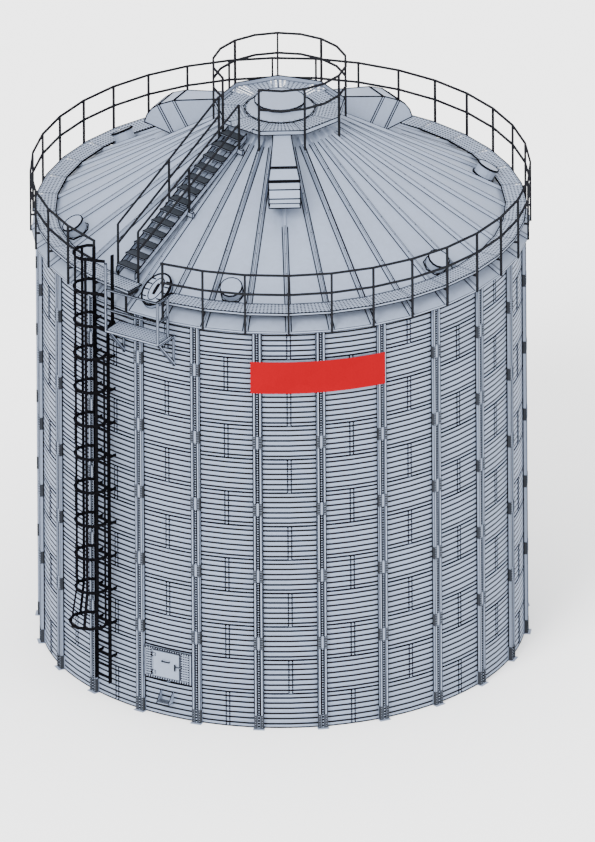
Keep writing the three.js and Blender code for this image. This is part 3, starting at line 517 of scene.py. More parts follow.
zinc = {"light": (0.185, 0.222, 0.305), "dark": (0.15, 0.178, 0.235), "shine": 0.5, "metallic": 0.15}
coat = {"spangle": 0.4, "streaks": 0.15}
finish = {
    # the wall's corrugation valleys get painted shade, nearly black
    "sheet": galvanised("wallZinc", valleyShadeColour=(0.002, 0.002, 0.003), specular=0.08),
    "panel": galvanised("plainZinc"),
    "roof": galvanised("roofZinc", spangle=0.08, streaks=0.15),
    "deck": galvanised("deckZinc"),
    "rail": painted("railSteel", (0.012, 0.013, 0.015), (0.007, 0.007, 0.009), 0.5),
    "sleeve": painted("sleeveSteel", (0.03, 0.033, 0.04), (0.018, 0.02, 0.024), 0.5),
    "grate": painted("grateSteel", (0.035, 0.04, 0.05), (0.022, 0.026, 0.033), 0.5),
    "bolt": painted("boltSteel", (0.004, 0.004, 0.005), (0.002, 0.002, 0.0025), 0.6),
    # dark paint on the ladder, cage and clamps, and painted shade on the shade sheets, beads and strips
    "dark": painted("darkPaintAndShade", (0.004, 0.004, 0.005), (0.002, 0.002, 0.0025), 0.6),
    "red": painted("redPaint", (0.2, 0.0002, 0.004), (0.17, 0.0001, 0.003), 0.5, 0.02),
}
keptFinish = {
    "wall_panel": "panel", "door_panel": "panel", "roof_sector": "roof", "roof_vent": "panel",
    "vent_hood": "panel", "roof_manhole": "panel", "peak_collar": "panel", "fill_cap": "panel",
    "peak_platform": "deck", "peak_railing": "rail", "eave_walkway": "deck", "eave_railing": "rail",
    "eave_foot": "rail", "roof_stair": "deck", "stair_rail": "rail", "access_ladder": "dark",
    "ladder_cage": "dark", "rest_platform": "deck", "door_frame": "panel", "door_leaf": "panel",
    "door_step": "panel", "sign_panel": "red",
}
for nodeName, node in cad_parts.items():
    kind = next(start for start in keptFinish if nodeName.startswith(start))
    node.data.materials.clear()
    node.data.materials.append(finish[keptFinish[kind]])
print("finishes ready")

# corrugated wall sheets

doorCut = {"angle": -30, "side": 0.5, "low": 0.93, "high": 1.6}


def ringBase(ringIndex):
    return wall["firstRing"] + ringIndex * wall["ring"]


def lapRise(ringIndex):
    # every second ring stands a little further out
    return corrugation["lapRise"] if ringIndex % 2 else 0


def seamAngle(ringIndex):
    # the seams of one ring lie between those of the next
    return 0 if ringIndex % 2 else bayAngle


def sheetRadius(z, ringIndex):
    # where the sheet's surface lies at a height
    phase = (z - ringBase(ringIndex) - corrugation["firstGroove"]) / corrugation["pitch"]
    wave = corrugation["depth"] * math.cos(2 * math.pi * phase)
    return corrugation["radius"] + lapRise(ringIndex) - wave


def sheetValues(ringIndex, fromAngle, toAngle, raised, columns):
    low = ringBase(ringIndex) - corrugation["overlap"] if ringIndex else corrugation["foot"]
    high = min(wall["top"], ringBase(ringIndex + 1) + corrugation["overlap"])
    waves = (high - low) / corrugation["pitch"]
    return {
        "Radius": corrugation["radius"] + raised, "From": float(fromAngle), "To": float(toAngle),
        "Low": low, "High": high, "Pitch": corrugation["pitch"],
        "Start": ringBase(ringIndex) + corrugation["firstGroove"], "Depth": corrugation["depth"],
        "Thickness": corrugation["thickness"], "Columns": columns,
        "Rows": int(waves * corrugation["stepsPerWave"]) + 1, "Cut angle": float(doorCut["angle"]),
        "Cut side": doorCut["side"], "Cut low": doorCut["low"], "Cut high": doorCut["high"],
    }


def wallSheets(panel):
    # the sheets and seam strips of one wall panel, as one piece
    middle, grown = panel * panelAngle, []
    for ringIndex in range(wall["rings"]):
        raised = lapRise(ringIndex)
        seam = middle - seamAngle(ringIndex)
        for start, end, lift, columns in (
                (middle - bayAngle, middle + bayAngle, raised, corrugation["columns"]),
                (seam - seamHalfAngle, seam + seamHalfAngle, raised + corrugation["seamRise"],
                 corrugation["seamColumns"])):
            values = sheetValues(ringIndex, start, end, lift, columns)
            grown.append(grow("ringSheet", sheets, empty, values, "sheet"))
    name = f"wallSheets_{panel + 1:02d}"
    mesh = joinedMesh(name, [piece.data for piece in grown], finish["sheet"])
    for piece in grown:
        bpy.data.objects.remove(piece)
    mesh.shade_smooth()
    mesh.set_sharp_from_angle(angle=math.radians(corrugation["sharpAngle"]))
    addPiece(name, mesh, silo)


empty = bpy.data.meshes.new("nothing")
seamHalfAngle = math.degrees(corrugation["seamHalf"] / wall["radius"])
for panel in range(wall["panels"]):
    wallSheets(panel)
print("wall sheets done")

# bolts and laps of the wall

seamBolts = {"side": 0.04, "pitch": 0.0632, "width": 0.039, "height": 0.011, "first": 0.03, "seal": 0.009}
lapBead = {"height": 0.04, "inner": 5.352, "outer": 5.3685, "stiffenerGap": 1.15, "foot": [0.003, 0.028],
           "seamFoot": 0.004}
lapBolts = {"perBay": 9, "width": 0.03, "height": 0.008}
doorway = {"side": 0.6, "low": 0.87, "high": 1.66}
# a stiffener stands at the end of each bay, counted so that those at the front are near 0
stiffenerAngles = [(bay + 0.5) * bayAngle for bay in range(1 - bays // 2, 1 + bays // 2)]


def behindDoor(angle, z):
    side = wall["radius"] * math.radians((angle - doorCut["angle"] + 180) % 360 - 180)
    return abs(side) < doorway["side"] and doorway["low"] < z < doorway["high"]


def seamSpots():
    spots = []
    for ringIndex in range(wall["rings"]):
        for turn in range(wall["panels"]):
            angle = turn * panelAngle + seamAngle(ringIndex)
            z = ringBase(ringIndex) + seamBolts["first"]
            while z < min(ringBase(ringIndex + 1), wall["top"]) - seamBolts["first"]:
                for sign in (-1, 1):
                    spotAngle = angle + math.degrees(sign * seamBolts["side"] / wall["radius"])
                    if not behindDoor(spotAngle, z):
                        radius = sheetRadius(z, ringIndex) + corrugation["seamRise"]
                        spots.append((polar(spotAngle, radius, z), polar(spotAngle, 1, 0)))
                z += seamBolts["pitch"]
    return spots


def lapSpots():
    spots = []
    for ringIndex in range(1, wall["rings"]):
        for bay in range(bays):
            for i in range(lapBolts["perBay"]):
                angle = (bay - 0.5 + (i + 1) / (lapBolts["perBay"] + 1)) * bayAngle
                if not behindDoor(angle, ringBase(ringIndex)):
                    spots.append((polar(angle, lapBead["outer"], ringBase(ringIndex)), polar(angle, 1, 0)))
    return spots


growBolts("seamBolts", seamSpots(), seamBolts["width"], seamBolts["height"])
growBolts("lapBolts", lapSpots(), lapBolts["width"], lapBolts["height"])


def arcBand(fromAngle, toAngle, inner, outer, low, high, step=2.5):
    # closed curved strip around the axis
    count = max(1, math.ceil((toAngle - fromAngle) / step - 1e-6))
    points, faces = [], []
    for i in range(count + 1):
        angle = fromAngle + (toAngle - fromAngle) * i / count
        points += [polar(angle, inner, low), polar(angle, outer, low), polar(angle, outer, high),
                   polar(angle, inner, high)]
    for i in range(count):
        for k in range(4):
            j = (k + 1) % 4
            faces.append((4 * i + k, 4 * i + j, 4 * i + 4 + j, 4 * i + 4 + k))
    faces += [(3, 2, 1, 0), tuple(4 * count + k for k in range(4))]
    return points, faces


def bayBead(bay, low, high):
    # one seal from stiffener to stiffener
    start = (bay - 0.5) * bayAngle + lapBead["stiffenerGap"]
    end = (bay + 0.5) * bayAngle - lapBead["stiffenerGap"]
    return arcBand(start, end, lapBead["inner"], lapBead["outer"], low, high)


def lapSeals():
    beads = [bayBead(bay, *lapBead["foot"]) for bay in range(bays)]
    half = lapBead["height"] / 2
    for ringIndex in range(1, wall["rings"]):
        z = ringBase(ringIndex)
        beads += [bayBead(bay, z - half, z + half) for bay in range(bays)
                  if not behindDoor(bay * bayAngle, z)]
    for ringIndex in range(wall["rings"]):
        low = max(ringBase(ringIndex), lapBead["seamFoot"])
        high = min(ringBase(ringIndex + 1), wall["top"])
        for turn in range(wall["panels"]):
            for side in (-seamBolts["side"], seamBolts["side"]):
                beads.append(boxAt(turn * panelAngle + seamAngle(ringIndex), side - seamBolts["seal"],
                                   side + seamBolts["seal"], lapBead["inner"], lapBead["outer"], low, high))
    return beads


addClosed("lapBeads", lapSeals(), "dark")
print("wall bolts and laps done")

# stiffeners: punched strips, painted shade beads, splice sleeves and boots

stiffener = {
    "front": 5.4452, "side": 0.1002, "channel": 0.036, "low": 0.335, "high": 9.772,
    "strip": {"width": 0.066, "out": 5.425, "pitch": 0.06, "hole": 0.034, "sheet": 0.002,
              "margin": 0.0215, "columns": 1},
    "backing": {"half": 0.03, "gap": 0.003, "sheet": 0.003},
    "shadeBead": {"wide": 0.016, "stand": 0.0022, "proud": 0.001, "footWide": 0.014, "footOut": (5.368, 5.384)},
}
sleeve = {"centres": [2.10, 3.747, 5.39, 7.035, 8.68], "half": 0.148, "sheet": 0.0045, "channelFrom": 0.04,
          "sideBack": 5.372, "boltRows": 5, "boltSides": [-0.083, -0.057, 0.057, 0.083], "proud": 0.0085,
          "sideSheet": 0.004, "gap": 0.0003, "boltWidth": 0.015, "boltHeight": 0.006}
spliceCore = {"half": 0.024, "gap": 0.0005, "depth": 0.009}
behindSign = {"from": -9, "to": 24, "above": 8}
boot = {"low": 0.013, "high": 0.334, "front": 5.4485, "side": 0.1032, "sheet": 0.003, "rows": 5,
        "boltSides": [-0.075, 0.075], "stripGap": 0.0015, "gap": 0.0002, "firstRow": 0.7, "rowMargin": 0.4}


def punchedStrips(name, out, low, high):
    # one dark punched strip up the middle of each stiffener
    strip = stiffener["strip"]
    spots = [(polar(angle, out, (low + high) / 2), (math.pi / 2, 0, math.radians(angle)))
             for angle in stiffenerAngles]
    look = {**strip, "rows": int((high - low) / strip["pitch"])}
    growPlates(name, spots, (strip["width"], strip["width"]), high - low, look, "dark")


def stiffenerShadeLines(angle):
    # painted shade: dark beads on the folds of one stiffener and along its foot on the wall
    front, shadeBead = stiffener["front"], stiffener["shadeBead"]
    low, high = stiffener["low"], stiffener["high"]
    beads = []
    for sign in (-1, 1):
        outer, channel = sign * (stiffener["side"] + shadeBead["proud"]), sign * stiffener["channel"]
        for edge, inward in ((outer, outer - sign * shadeBead["wide"]), (channel, channel + sign * shadeBead["wide"])):
            beads.append(boxAt(angle, edge, inward, front, front + shadeBead["stand"], low, high))
        beads.append(boxAt(angle, outer, outer + sign * shadeBead["footWide"], *shadeBead["footOut"], low, high))
    return beads


def spliceSleeve(angle, centre):
    # a plate over each half of the front, and one down each side
    back = stiffener["front"] + stiffener["shadeBead"]["stand"]
    low, high = centre - sleeve["half"], centre + sleeve["half"]
    parts = []
    for sign in (-1, 1):
        near, far = sign * sleeve["channelFrom"], sign * (stiffener["side"] + sleeve["proud"])
        parts.append(boxAt(angle, near, far, back + sleeve["gap"], back + sleeve["sheet"], low, high))
        parts.append(boxAt(angle, far, far - sign * sleeve["sideSheet"], sleeve["sideBack"], back, low, high))
    return parts


def bootPlates(angle):
    parts = []
    outer = boot["side"] + boot["sheet"]
    for sign in (-1, 1):
        parts.append(boxAt(angle, sign * outer, sign * sleeve["channelFrom"], boot["front"] + boot["gap"],
                           boot["front"] + boot["sheet"], boot["low"], boot["high"]))
        parts.append(boxAt(angle, sign * outer, sign * boot["side"], sleeve["sideBack"], boot["front"],
                           boot["low"], boot["high"]))
    return parts


def boltRows(angle, out, sides, heights):
    return [(seenFrom(angle, side, out, z), polar(angle, 1, 0)) for z in heights for side in sides]


def stiffenerParts():
    beads, sleeves, sleeveSpots, cores, backings = [], [], [], [], []
    plateFront = stiffener["front"] + stiffener["shadeBead"]["stand"] + sleeve["sheet"]
    stripOut, backing = stiffener["strip"]["out"], stiffener["backing"]
    backingOut = stripOut - backing["gap"]
    bootStep = (boot["high"] - boot["low"]) / (boot["rows"] + boot["rowMargin"])
    for angle in stiffenerAngles:
        backings.append(boxAt(angle, -backing["half"], backing["half"], backingOut - backing["sheet"],
                              backingOut, stiffener["low"], stiffener["high"]))
        beads += stiffenerShadeLines(angle)
        for centre in sleeve["centres"]:
            if behindSign["from"] < angle < behindSign["to"] and centre > behindSign["above"]:
                continue
            low, high = centre - sleeve["half"], centre + sleeve["half"]
            sleeves += spliceSleeve(angle, centre)
            cores.append(boxAt(angle, -spliceCore["half"], spliceCore["half"], stripOut + spliceCore["gap"],
                               stripOut + spliceCore["depth"], low, high))
            heights = [low + (i + 0.5) * (high - low) / sleeve["boltRows"] for i in range(sleeve["boltRows"])]
            sleeveSpots += boltRows(angle, plateFront, sleeve["boltSides"], heights)
        sleeves += bootPlates(angle)
        heights = [boot["low"] + (i + boot["firstRow"]) * bootStep for i in range(boot["rows"])]
        sleeveSpots += boltRows(angle, boot["front"] + boot["sheet"], boot["boltSides"], heights)
    addClosed("stiffenerShadeBeads", beads, "dark")
    addClosed("spliceSleeves", sleeves, "sleeve")
    addClosed("spliceCores", cores, "panel")
    addClosed("stripBackings", backings, "panel")
    growBolts("sleeveBolts", sleeveSpots, sleeve["boltWidth"], sleeve["boltHeight"], "panel")


punchedStrips("stiffenerStrips", stiffener["strip"]["out"], stiffener["low"], stiffener["high"])
punchedStrips("bootStrips", boot["front"] + boot["stripGap"], boot["low"], boot["high"])
stiffenerParts()
print("stiffeners done")

# roof: painted shade along the ribs, rib bolts and eave trim

roofRib = {"every": 10, "base": 0.1, "top": 0.04, "height": 0.065, "from": 1.32, "underHood": 3.12,
           "bolt": 0.45, "firstBolt": 0.2, "lastBolt": 0.08, "boltWidth": 0.02, "boltHeight": 0.007}
ribShadeStrip = {"wide": 0.022, "high": 0.005, "edge": 0.01, "proud": 0.001, "foot": 0.0005, "short": 0.005,
            "edgeLow": 0.001, "edgeHigh": 0.0025}
eaveTrim = {"below": (0.059, 0.013), "high": 0.012, "inner": 0.006, "outer": 0.0025, "turn": 359.999,
            "step": 10}
hoodAngles = [0, 120, 240]


def roofPoint(angle, side, radius, height):
    # a point above the roof, measured along its normal
    out = radius + height * math.sin(roofSlope)
    return seenFrom(angle, side, out, roofTop(radius) + height * math.cos(roofSlope))


def roofNormal(angle):
    return roofPoint(angle, 0, 0, 1) - roofPoint(angle, 0, 0, 0)


def roofBox(angle, side0, side1, radius0, radius1, height0, height1):
    near, far = sorted((side0, side1))
    low = [roofPoint(angle, side, radius, height0) for side, radius in
           ((near, radius0), (far, radius0), (far, radius1), (near, radius1))]
    return extruded(low, roofPoint(angle, near, radius0, height1) - low[0])


def roofParts():
    darkStrips, ribSpots = [], []
    end = roof["eaveRadius"] - ribShadeStrip["short"]
    low, high = roofRib["height"] - ribShadeStrip["edgeLow"], roofRib["height"] + ribShadeStrip["edgeHigh"]
    for angle in range(0, 360, roofRib["every"]):
        start = roofRib["underHood"] if angle in hoodAngles else roofRib["from"]
        for sign in (-1, 1):
            foot = sign * (roofRib["base"] / 2 + ribShadeStrip["proud"])
            edge = sign * roofRib["top"] / 2
            # painted shade: dark strips along the foot and the top edges of each rib
            darkStrips.append(roofBox(angle, foot, foot + sign * ribShadeStrip["wide"], start, end,
                                 ribShadeStrip["foot"], ribShadeStrip["high"]))
            darkStrips.append(roofBox(angle, edge, edge - sign * ribShadeStrip["edge"], start, end, low, high))
        radius = start + roofRib["firstBolt"]
        while radius < roof["eaveRadius"] - roofRib["lastBolt"]:
            ribSpots.append((roofPoint(angle, 0, radius, roofRib["height"]), roofNormal(angle)))
            radius += roofRib["bolt"]
    inner, outer = roof["eaveRadius"] - eaveTrim["inner"], roof["eaveRadius"] + eaveTrim["outer"]
    for below in eaveTrim["below"]:
        foot = roof["eaveZ"] - below
        darkStrips.append(arcBand(0, eaveTrim["turn"], inner, outer, foot, foot + eaveTrim["high"],
                             eaveTrim["step"]))
    addClosed("ribShadeAndEaveTrim", darkStrips, "dark")
    growBolts("ribBolts", ribSpots, roofRib["boltWidth"], roofRib["boltHeight"])


roofParts()
print("roof done")

# perforated walkways and platforms

walkway = {"inner": 4.98, "outer": 5.45, "deck": 10.23, "sheet": 0.004, "flange": 0.06, "innerFlange": 0.024,
           "gap": 0.006, "hole": 0.048, "columns": 11, "rows": 6, "margin": 0.042, "joint": 0.009,
           "every": 10, "frameSheet": 0.006, "frameShort": 0.003, "frameGap": 0.0003}
# painted shade: dark sheets just under the walkway plates, seen black through the holes, and dark strips in
# the gaps between plates
walkwayShadeSheet = {"side": 0.01, "out": 0.007, "depth": 0.004, "gap": 0.0006, "jointIn": 0.001,
                "jointOut": 0.012, "jointHigh": 0.0012}
walkwayArcs = {"right": (-25, 85), "back": (95, 195), "left": (205, 315)}


def platesOnRing(name, angles, step, deck, gaps, length, low):
    # plates that stand side by side on a ring, narrower towards the axis
    half = math.radians(step / 2)
    middle = (deck["inner"] + deck["outer"]) * math.cos(half) / 2
    spots = [(polar(angle, middle, low), (0, 0, math.radians(angle))) for angle in angles]
    widths = (2 * deck["outer"] * math.sin(half) - gaps[0], 2 * deck["inner"] * math.sin(half) - gaps[1])
    return growPlates(name, spots, widths, length, deck, "deck")


def deckWithFrames(name, deck, frames):
    # the grown plates and their frames as one mesh
    mesh = joinedMesh(name, [deck.data, closedMesh("deckFrames", frames, finish["deck"])], finish["deck"])
    bpy.data.objects.remove(deck)
    return mesh


def walkwayPiece(arc, first, last):
    half = math.radians(walkway["every"] / 2)
    inner, outer = walkway["inner"] * math.cos(half), walkway["outer"] * math.cos(half)
    angles = range(first, last + 1, walkway["every"])
    z = walkway["deck"] - walkway["sheet"]
    top = z - walkway["frameGap"]
    deck = platesOnRing("deckPlates", angles, walkway["every"], walkway, (walkway["gap"], walkway["gap"]),
                        outer - inner, z)
    wideOut = outer * math.tan(half) - walkway["frameShort"]
    wideIn = inner * math.tan(half) - walkway["frameShort"]
    under, frames, undersides = walkwayShadeSheet, [], []
    for angle in angles:
        frames.append(boxAt(angle, -wideOut, wideOut, outer - walkway["frameSheet"], outer,
                            walkway["deck"] - walkway["flange"], top))
        frames.append(boxAt(angle, -wideIn, wideIn, inner, inner + walkway["frameSheet"],
                            walkway["deck"] - walkway["innerFlange"], top))
        # painted shade: a dark sheet under each plate and a dark strip in the gap to the next plate
        undersides.append(boxAt(angle, under["side"] - wideIn, wideIn - under["side"], inner + under["out"],
                                outer - under["out"], z - under["depth"], z - under["gap"]))
        undersides.append(boxAt(angle + walkway["every"] / 2, -walkway["joint"], walkway["joint"],
                                walkway["inner"] - under["jointIn"], walkway["outer"] - under["jointOut"],
                                z - under["depth"], walkway["deck"] + under["jointHigh"]))
    name = f"eaveWalkway_{arc}"
    addPiece(name, deckWithFrames(name, deck, frames), silo, [f"eave_walkway_{arc}"])
    addClosed(f"walkwayPaintedShade_{arc}", undersides, "dark")


for arc, (first, last) in walkwayArcs.items():
    walkwayPiece(arc, first, last)

peak = {"outer": 1.463, "inner": 0.823, "low": 12.6503, "deck": 12.6553, "toe": 0.1, "toeSheet": 0.006,
        "hole": 0.05, "columns": 9, "rows": 8, "margin": 0.048, "every": 40, "gaps": (0.01, 0.006),
        "entry": 320, "entryHalf": 0.3, "boardShort": 0.001, "boardGap": 0.0003}
peakCleat = {"in": 0.02, "half": 0.012, "deep": 0.03, "gap": 0.0065, "high": 0.08}
# painted shade: dark sheets under the peak plates and dark strips in the gaps between them
peakShadeSheet = {"side": 0.012, "inner": 0.01, "outer": 0.02, "depth": 0.005, "gap": 0.0006,
             "joint": 0.01, "jointIn": 0.004, "jointHigh": 0.0012}


def peakDeck():
    half = math.radians(peak["every"] / 2)
    inner, outer = peak["inner"] * math.cos(half), peak["outer"] * math.cos(half)
    angles = range(0, 360, peak["every"])
    look = {**peak, "sheet": peak["deck"] - peak["low"]}
    deck = platesOnRing("peakPlates", angles, peak["every"], look, peak["gaps"], outer - inner, peak["low"])
    wide = outer * math.tan(half) - peak["boardShort"]
    wideIn = inner * math.tan(half) - peakShadeSheet["side"]
    foot, under = peak["deck"] + peak["boardGap"], peakShadeSheet
    boards, undersides = [], []
    for angle in angles:
        # painted shade under each plate and in the gap to the next one
        undersides.append(boxAt(angle, -wideIn, wideIn, inner + under["inner"], outer - under["outer"],
                                peak["low"] - under["depth"], peak["low"] - under["gap"]))
        undersides.append(boxAt(angle + peak["every"] / 2, -under["joint"], under["joint"],
                                peak["inner"] + under["jointIn"], peak["outer"] - under["outer"],
                                peak["low"] - under["depth"], peak["deck"] + under["jointHigh"]))
        spans = [(-wide, wide)]
        if angle == peak["entry"]:
            spans = [(-wide, -peak["entryHalf"]), (peak["entryHalf"], wide)]
        for side0, side1 in spans:
            boards.append(boxAt(angle, side0, side1, outer - peak["toeSheet"], outer, foot,
                                peak["low"] + peak["toe"]))
        for side in (peakCleat["in"] - wide, wide - peakCleat["in"]):
            boards.append(boxAt(angle, side - peakCleat["half"], side + peakCleat["half"],
                                outer - peakCleat["deep"], outer - peakCleat["gap"], foot,
                                peak["deck"] + peakCleat["high"]))
    mesh = deckWithFrames("peakPlatform", deck, boards)
    addPiece("peakPlatform", mesh, silo, ["peak_platform"])
    addClosed("peakPaintedShade", undersides, "dark")


peakDeck()
print("walkways done")

# painted shade: dark beads along the edges and creases of carried pieces

edgeShadeSets = {
    "ventEdges": {"nodes": ["roof_vent"], "angle": 28, "size": 0.02, "slot": "vent_steel"},
    "hoodEdges": {"nodes": ["vent_hood"], "angle": 12, "size": 0.022, "slot": "vent_steel"},
    "manholeEdges": {"nodes": ["roof_manhole"], "angle": 28, "size": 0.018, "slot": "vent_steel"},
    "peakEdges": {"nodes": ["peak_collar", "fill_cap", "peak_platform"], "angle": 25, "size": 0.015,
                  "slot": "walkway_steel"},
    "walkwayEdges": {"nodes": ["eave_walkway"], "angle": 25, "size": 0.016, "slot": "walkway_steel"},
    "stairEdges": {"nodes": ["roof_stair"], "angle": 25, "size": 0.016, "slot": "walkway_steel"},
    "ladderEdges": {"nodes": ["access_ladder", "ladder_cage"], "angle": 25, "size": 0.014,
                    "slot": "dark_steel"},
    "restEdges": {"nodes": ["rest_platform"], "angle": 25, "size": 0.014, "slot": "walkway_steel"},
    "doorFrameEdges": {"nodes": ["door_frame", "door_step"], "angle": 25, "size": 0.009,
                       "slot": "door_steel"},
    "doorLeafEdges": {"nodes": ["door_leaf"], "angle": 25, "size": 0.007, "slot": "door_steel"},
}


def cadCarrier(starts):
    copies = []
    for nodeName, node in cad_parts.items():
        if nodeName.startswith(tuple(starts)):
            copies.append(node.data.copy())
            copies[-1].transform(node.matrix_world)
    mesh = joinedMesh("edgeCarrier", copies)
    for copy in copies:
        bpy.data.meshes.remove(copy)
    return mesh


for name, values in edgeShadeSets.items():
    body = doorBody if name == "doorLeafEdges" else silo
    size = {"Angle": math.radians(values["angle"]), "Size": values["size"]}
    grow(name, edgeShade, cadCarrier(values["nodes"]), size, "dark", body)
print("edge beads done")

# roof stair gratings

stair = {"angle": -45, "side": -0.045, "half": 0.283, "foot": 4.9607, "head": 1.33, "rise": 0.27,
         "treads": 13, "depth": 0.235, "hole": 0.027, "columns": 14, "rows": 6, "margin": 0.02,
         "sheet": 0.003, "lift": 0.0035, "gap": 0.01, "under": (0.0005, 0.003),
         "underSide": 0.012, "underDepth": 0.004}
stringer = {"side": 0.24, "below": 0.05, "bolts": (-0.06, 0.06), "boltWidth": 0.022, "boltHeight": 0.008}


def stairParts():
    plateSpots, boltSpots, undersides = [], [], []
    going = (stair["foot"] - stair["head"]) / stair["treads"]
    half, deep = stair["half"] - stair["underSide"], stair["depth"] / 2 - stair["underDepth"]
    angle, turn = stair["angle"], (0, 0, math.radians(stair["angle"]))
    for i in range(stair["treads"]):
        out = stair["head"] + going * (i + 0.5)
        top = roofTop(out) + stair["rise"]
        plateSpots.append((seenFrom(angle, stair["side"], out, top + stair["lift"]), turn))
        # painted shade: a dark sheet just under each grating, seen black through its holes
        undersides.append(boxAt(angle, stair["side"] - half, stair["side"] + half, out - deep, out + deep,
                                *[top + height for height in stair["under"]]))
        for step in stringer["bolts"]:
            z = roofTop(out + step) + stair["rise"] - stringer["below"]
            boltSpots.append((seenFrom(angle, stringer["side"], out + step, z), seenFrom(angle, 1, 0, 0)))
    width = 2 * (stair["half"] - stair["gap"])
    growPlates("treadGratings", plateSpots, (width, width), stair["depth"], stair, "grate")
    growBolts("stringerBolts", boltSpots, stringer["boltWidth"], stringer["boltHeight"])
    addClosed("treadPaintedShade", undersides, "dark")


stairParts()

# rest platform deck

rest = {"angle": -35, "left": -0.695, "right": 0.675, "back": 5.45, "front": 6.0, "deck": 9.462,
        "hole": 0.044, "columns": 17, "rows": 6, "margin": 0.032, "sheet": 0.003, "lift": 0.0035,
        "frame": 0.09, "under": (0.0004, 0.003), "underShort": 0.003}


def restDeck():
    middle, out = (rest["left"] + rest["right"]) / 2, (rest["back"] + rest["front"]) / 2
    width = rest["right"] - rest["left"] - rest["frame"]
    length = rest["front"] - rest["back"] - rest["frame"]
    place = seenFrom(rest["angle"], middle, out, rest["deck"] + rest["lift"])
    turn = (0, 0, math.radians(rest["angle"]))
    growPlates("restDeck", [(place, turn)], (width, width), length, rest, "deck")
    half, deep = width / 2 - rest["underShort"], length / 2 - rest["underShort"]
    # painted shade: a dark sheet just under the deck, seen black through its holes
    under = boxAt(rest["angle"], middle - half, middle + half, out - deep, out + deep,
                  *[rest["deck"] + height for height in rest["under"]])
    addClosed("restPaintedShade", [under], "dark")


restDeck()
print("stair and rest platform done")

# roof fittings

hood = {"seams": [(2.167, 0.692, 0.295), (2.502, 0.735, 0.348)], "wide": 0.02, "apart": 0.024, "bolts": 6,
        "below": 0.02, "proud": 0.006, "foot": 0.01, "lift": 0.001, "boltWidth": 0.022, "boltHeight": 0.01}
fillCap = {"disc": 0.552, "discTop": 12.87, "skirt": 0.735, "skirtTop": 12.672, "bolts": 36,
           "boltWidth": 0.02, "boltHeight": 0.008}
manhole = {
    "angle": -35, "radius": 4.96, "long": 0.43, "wide": 0.3, "lid": 0.135,
    "rings": [(0.97, 0.97, 0.014), (0.48, 0.7, 0.011)], "ringSteps": 40, "ringSides": 6, "ringLift": 0.004,
    "clamps": [-0.24, -0.06, 0.1, 0.24], "clampReach": (0.55, 0.95), "clampHalf": 0.012, "clampHigh": 0.018,
    "barHalf": 0.034, "barLong": 0.15, "barHigh": 0.012, "lift": 0.001,
}


def hoodSeams():
    seams, spots = [], []
    for angle in hoodAngles:
        for radius, height, half in hood["seams"]:
            for middle in (radius - hood["apart"], radius + hood["apart"]):
                along = (middle - hood["wide"] / 2, middle + hood["wide"] / 2)
                seams.append(roofBox(angle, -half, half, *along, height - hood["below"],
                                     height + hood["proud"]))
                for sign in (-1, 1):
                    seams.append(roofBox(angle, sign * half, sign * (half + hood["proud"]), *along,
                                         hood["foot"], height))
            for i in range(hood["bolts"]):
                side = half * (2 * (i + 0.5) / hood["bolts"] - 1)
                spots.append((roofPoint(angle, side, radius, height + hood["lift"]), roofNormal(angle)))
    addClosed("hoodSeams", seams, "dark")
    growBolts("hoodBolts", spots, hood["boltWidth"], hood["boltHeight"])


def capBolts():
    spots = []
    for i in range(fillCap["bolts"]):
        angle = 360 * (i + 0.5) / fillCap["bolts"]
        for circle in ("disc", "skirt"):
            spots.append((polar(angle, fillCap[circle], fillCap[circle + "Top"]), (0, 0, 1)))
    growBolts("capBolts", spots, fillCap["boltWidth"], fillCap["boltHeight"])


def lidPoint(side, along, lift):
    # a point over the manhole's lid, along up the roof from its middle
    radius = manhole["radius"] - along * math.cos(roofSlope)
    return roofPoint(manhole["angle"], side, radius, manhole["lid"] + lift)


def lidBox(side0, side1, along0, along1, high):
    low = [lidPoint(side, along, manhole["lift"]) for side, along in
           ((side0, along0), (side1, along0), (side1, along1), (side0, along1))]
    return extruded(low, lidPoint(side0, along0, high) - low[0])


def lidRing(wideScale, longScale, size):
    path = []
    for i in range(manhole["ringSteps"]):
        turn = 2 * math.pi * i / manhole["ringSteps"]
        path.append(lidPoint(wideScale * manhole["wide"] * math.cos(turn),
                             longScale * manhole["long"] * math.sin(turn), manhole["ringLift"]))
    return sweptRing(path, size, manhole["ringSides"], roofNormal(manhole["angle"]))


def manholeParts():
    parts = [lidRing(*ring) for ring in manhole["rings"]]
    for along in manhole["clamps"]:
        reach = manhole["wide"] * math.sqrt(1 - (along / manhole["long"]) ** 2)
        for sign in (-1, 1):
            near, far = (sign * share * reach for share in manhole["clampReach"])
            parts.append(lidBox(near, far, along - manhole["clampHalf"], along + manhole["clampHalf"],
                                manhole["clampHigh"]))
    parts.append(lidBox(-manhole["barHalf"], manhole["barHalf"], -manhole["barLong"], manhole["barLong"],
                        manhole["barHigh"]))
    addClosed("manholeClamps", parts, "dark")


hoodSeams()
capBolts()
manholeParts()
print("roof fittings done")

# access door

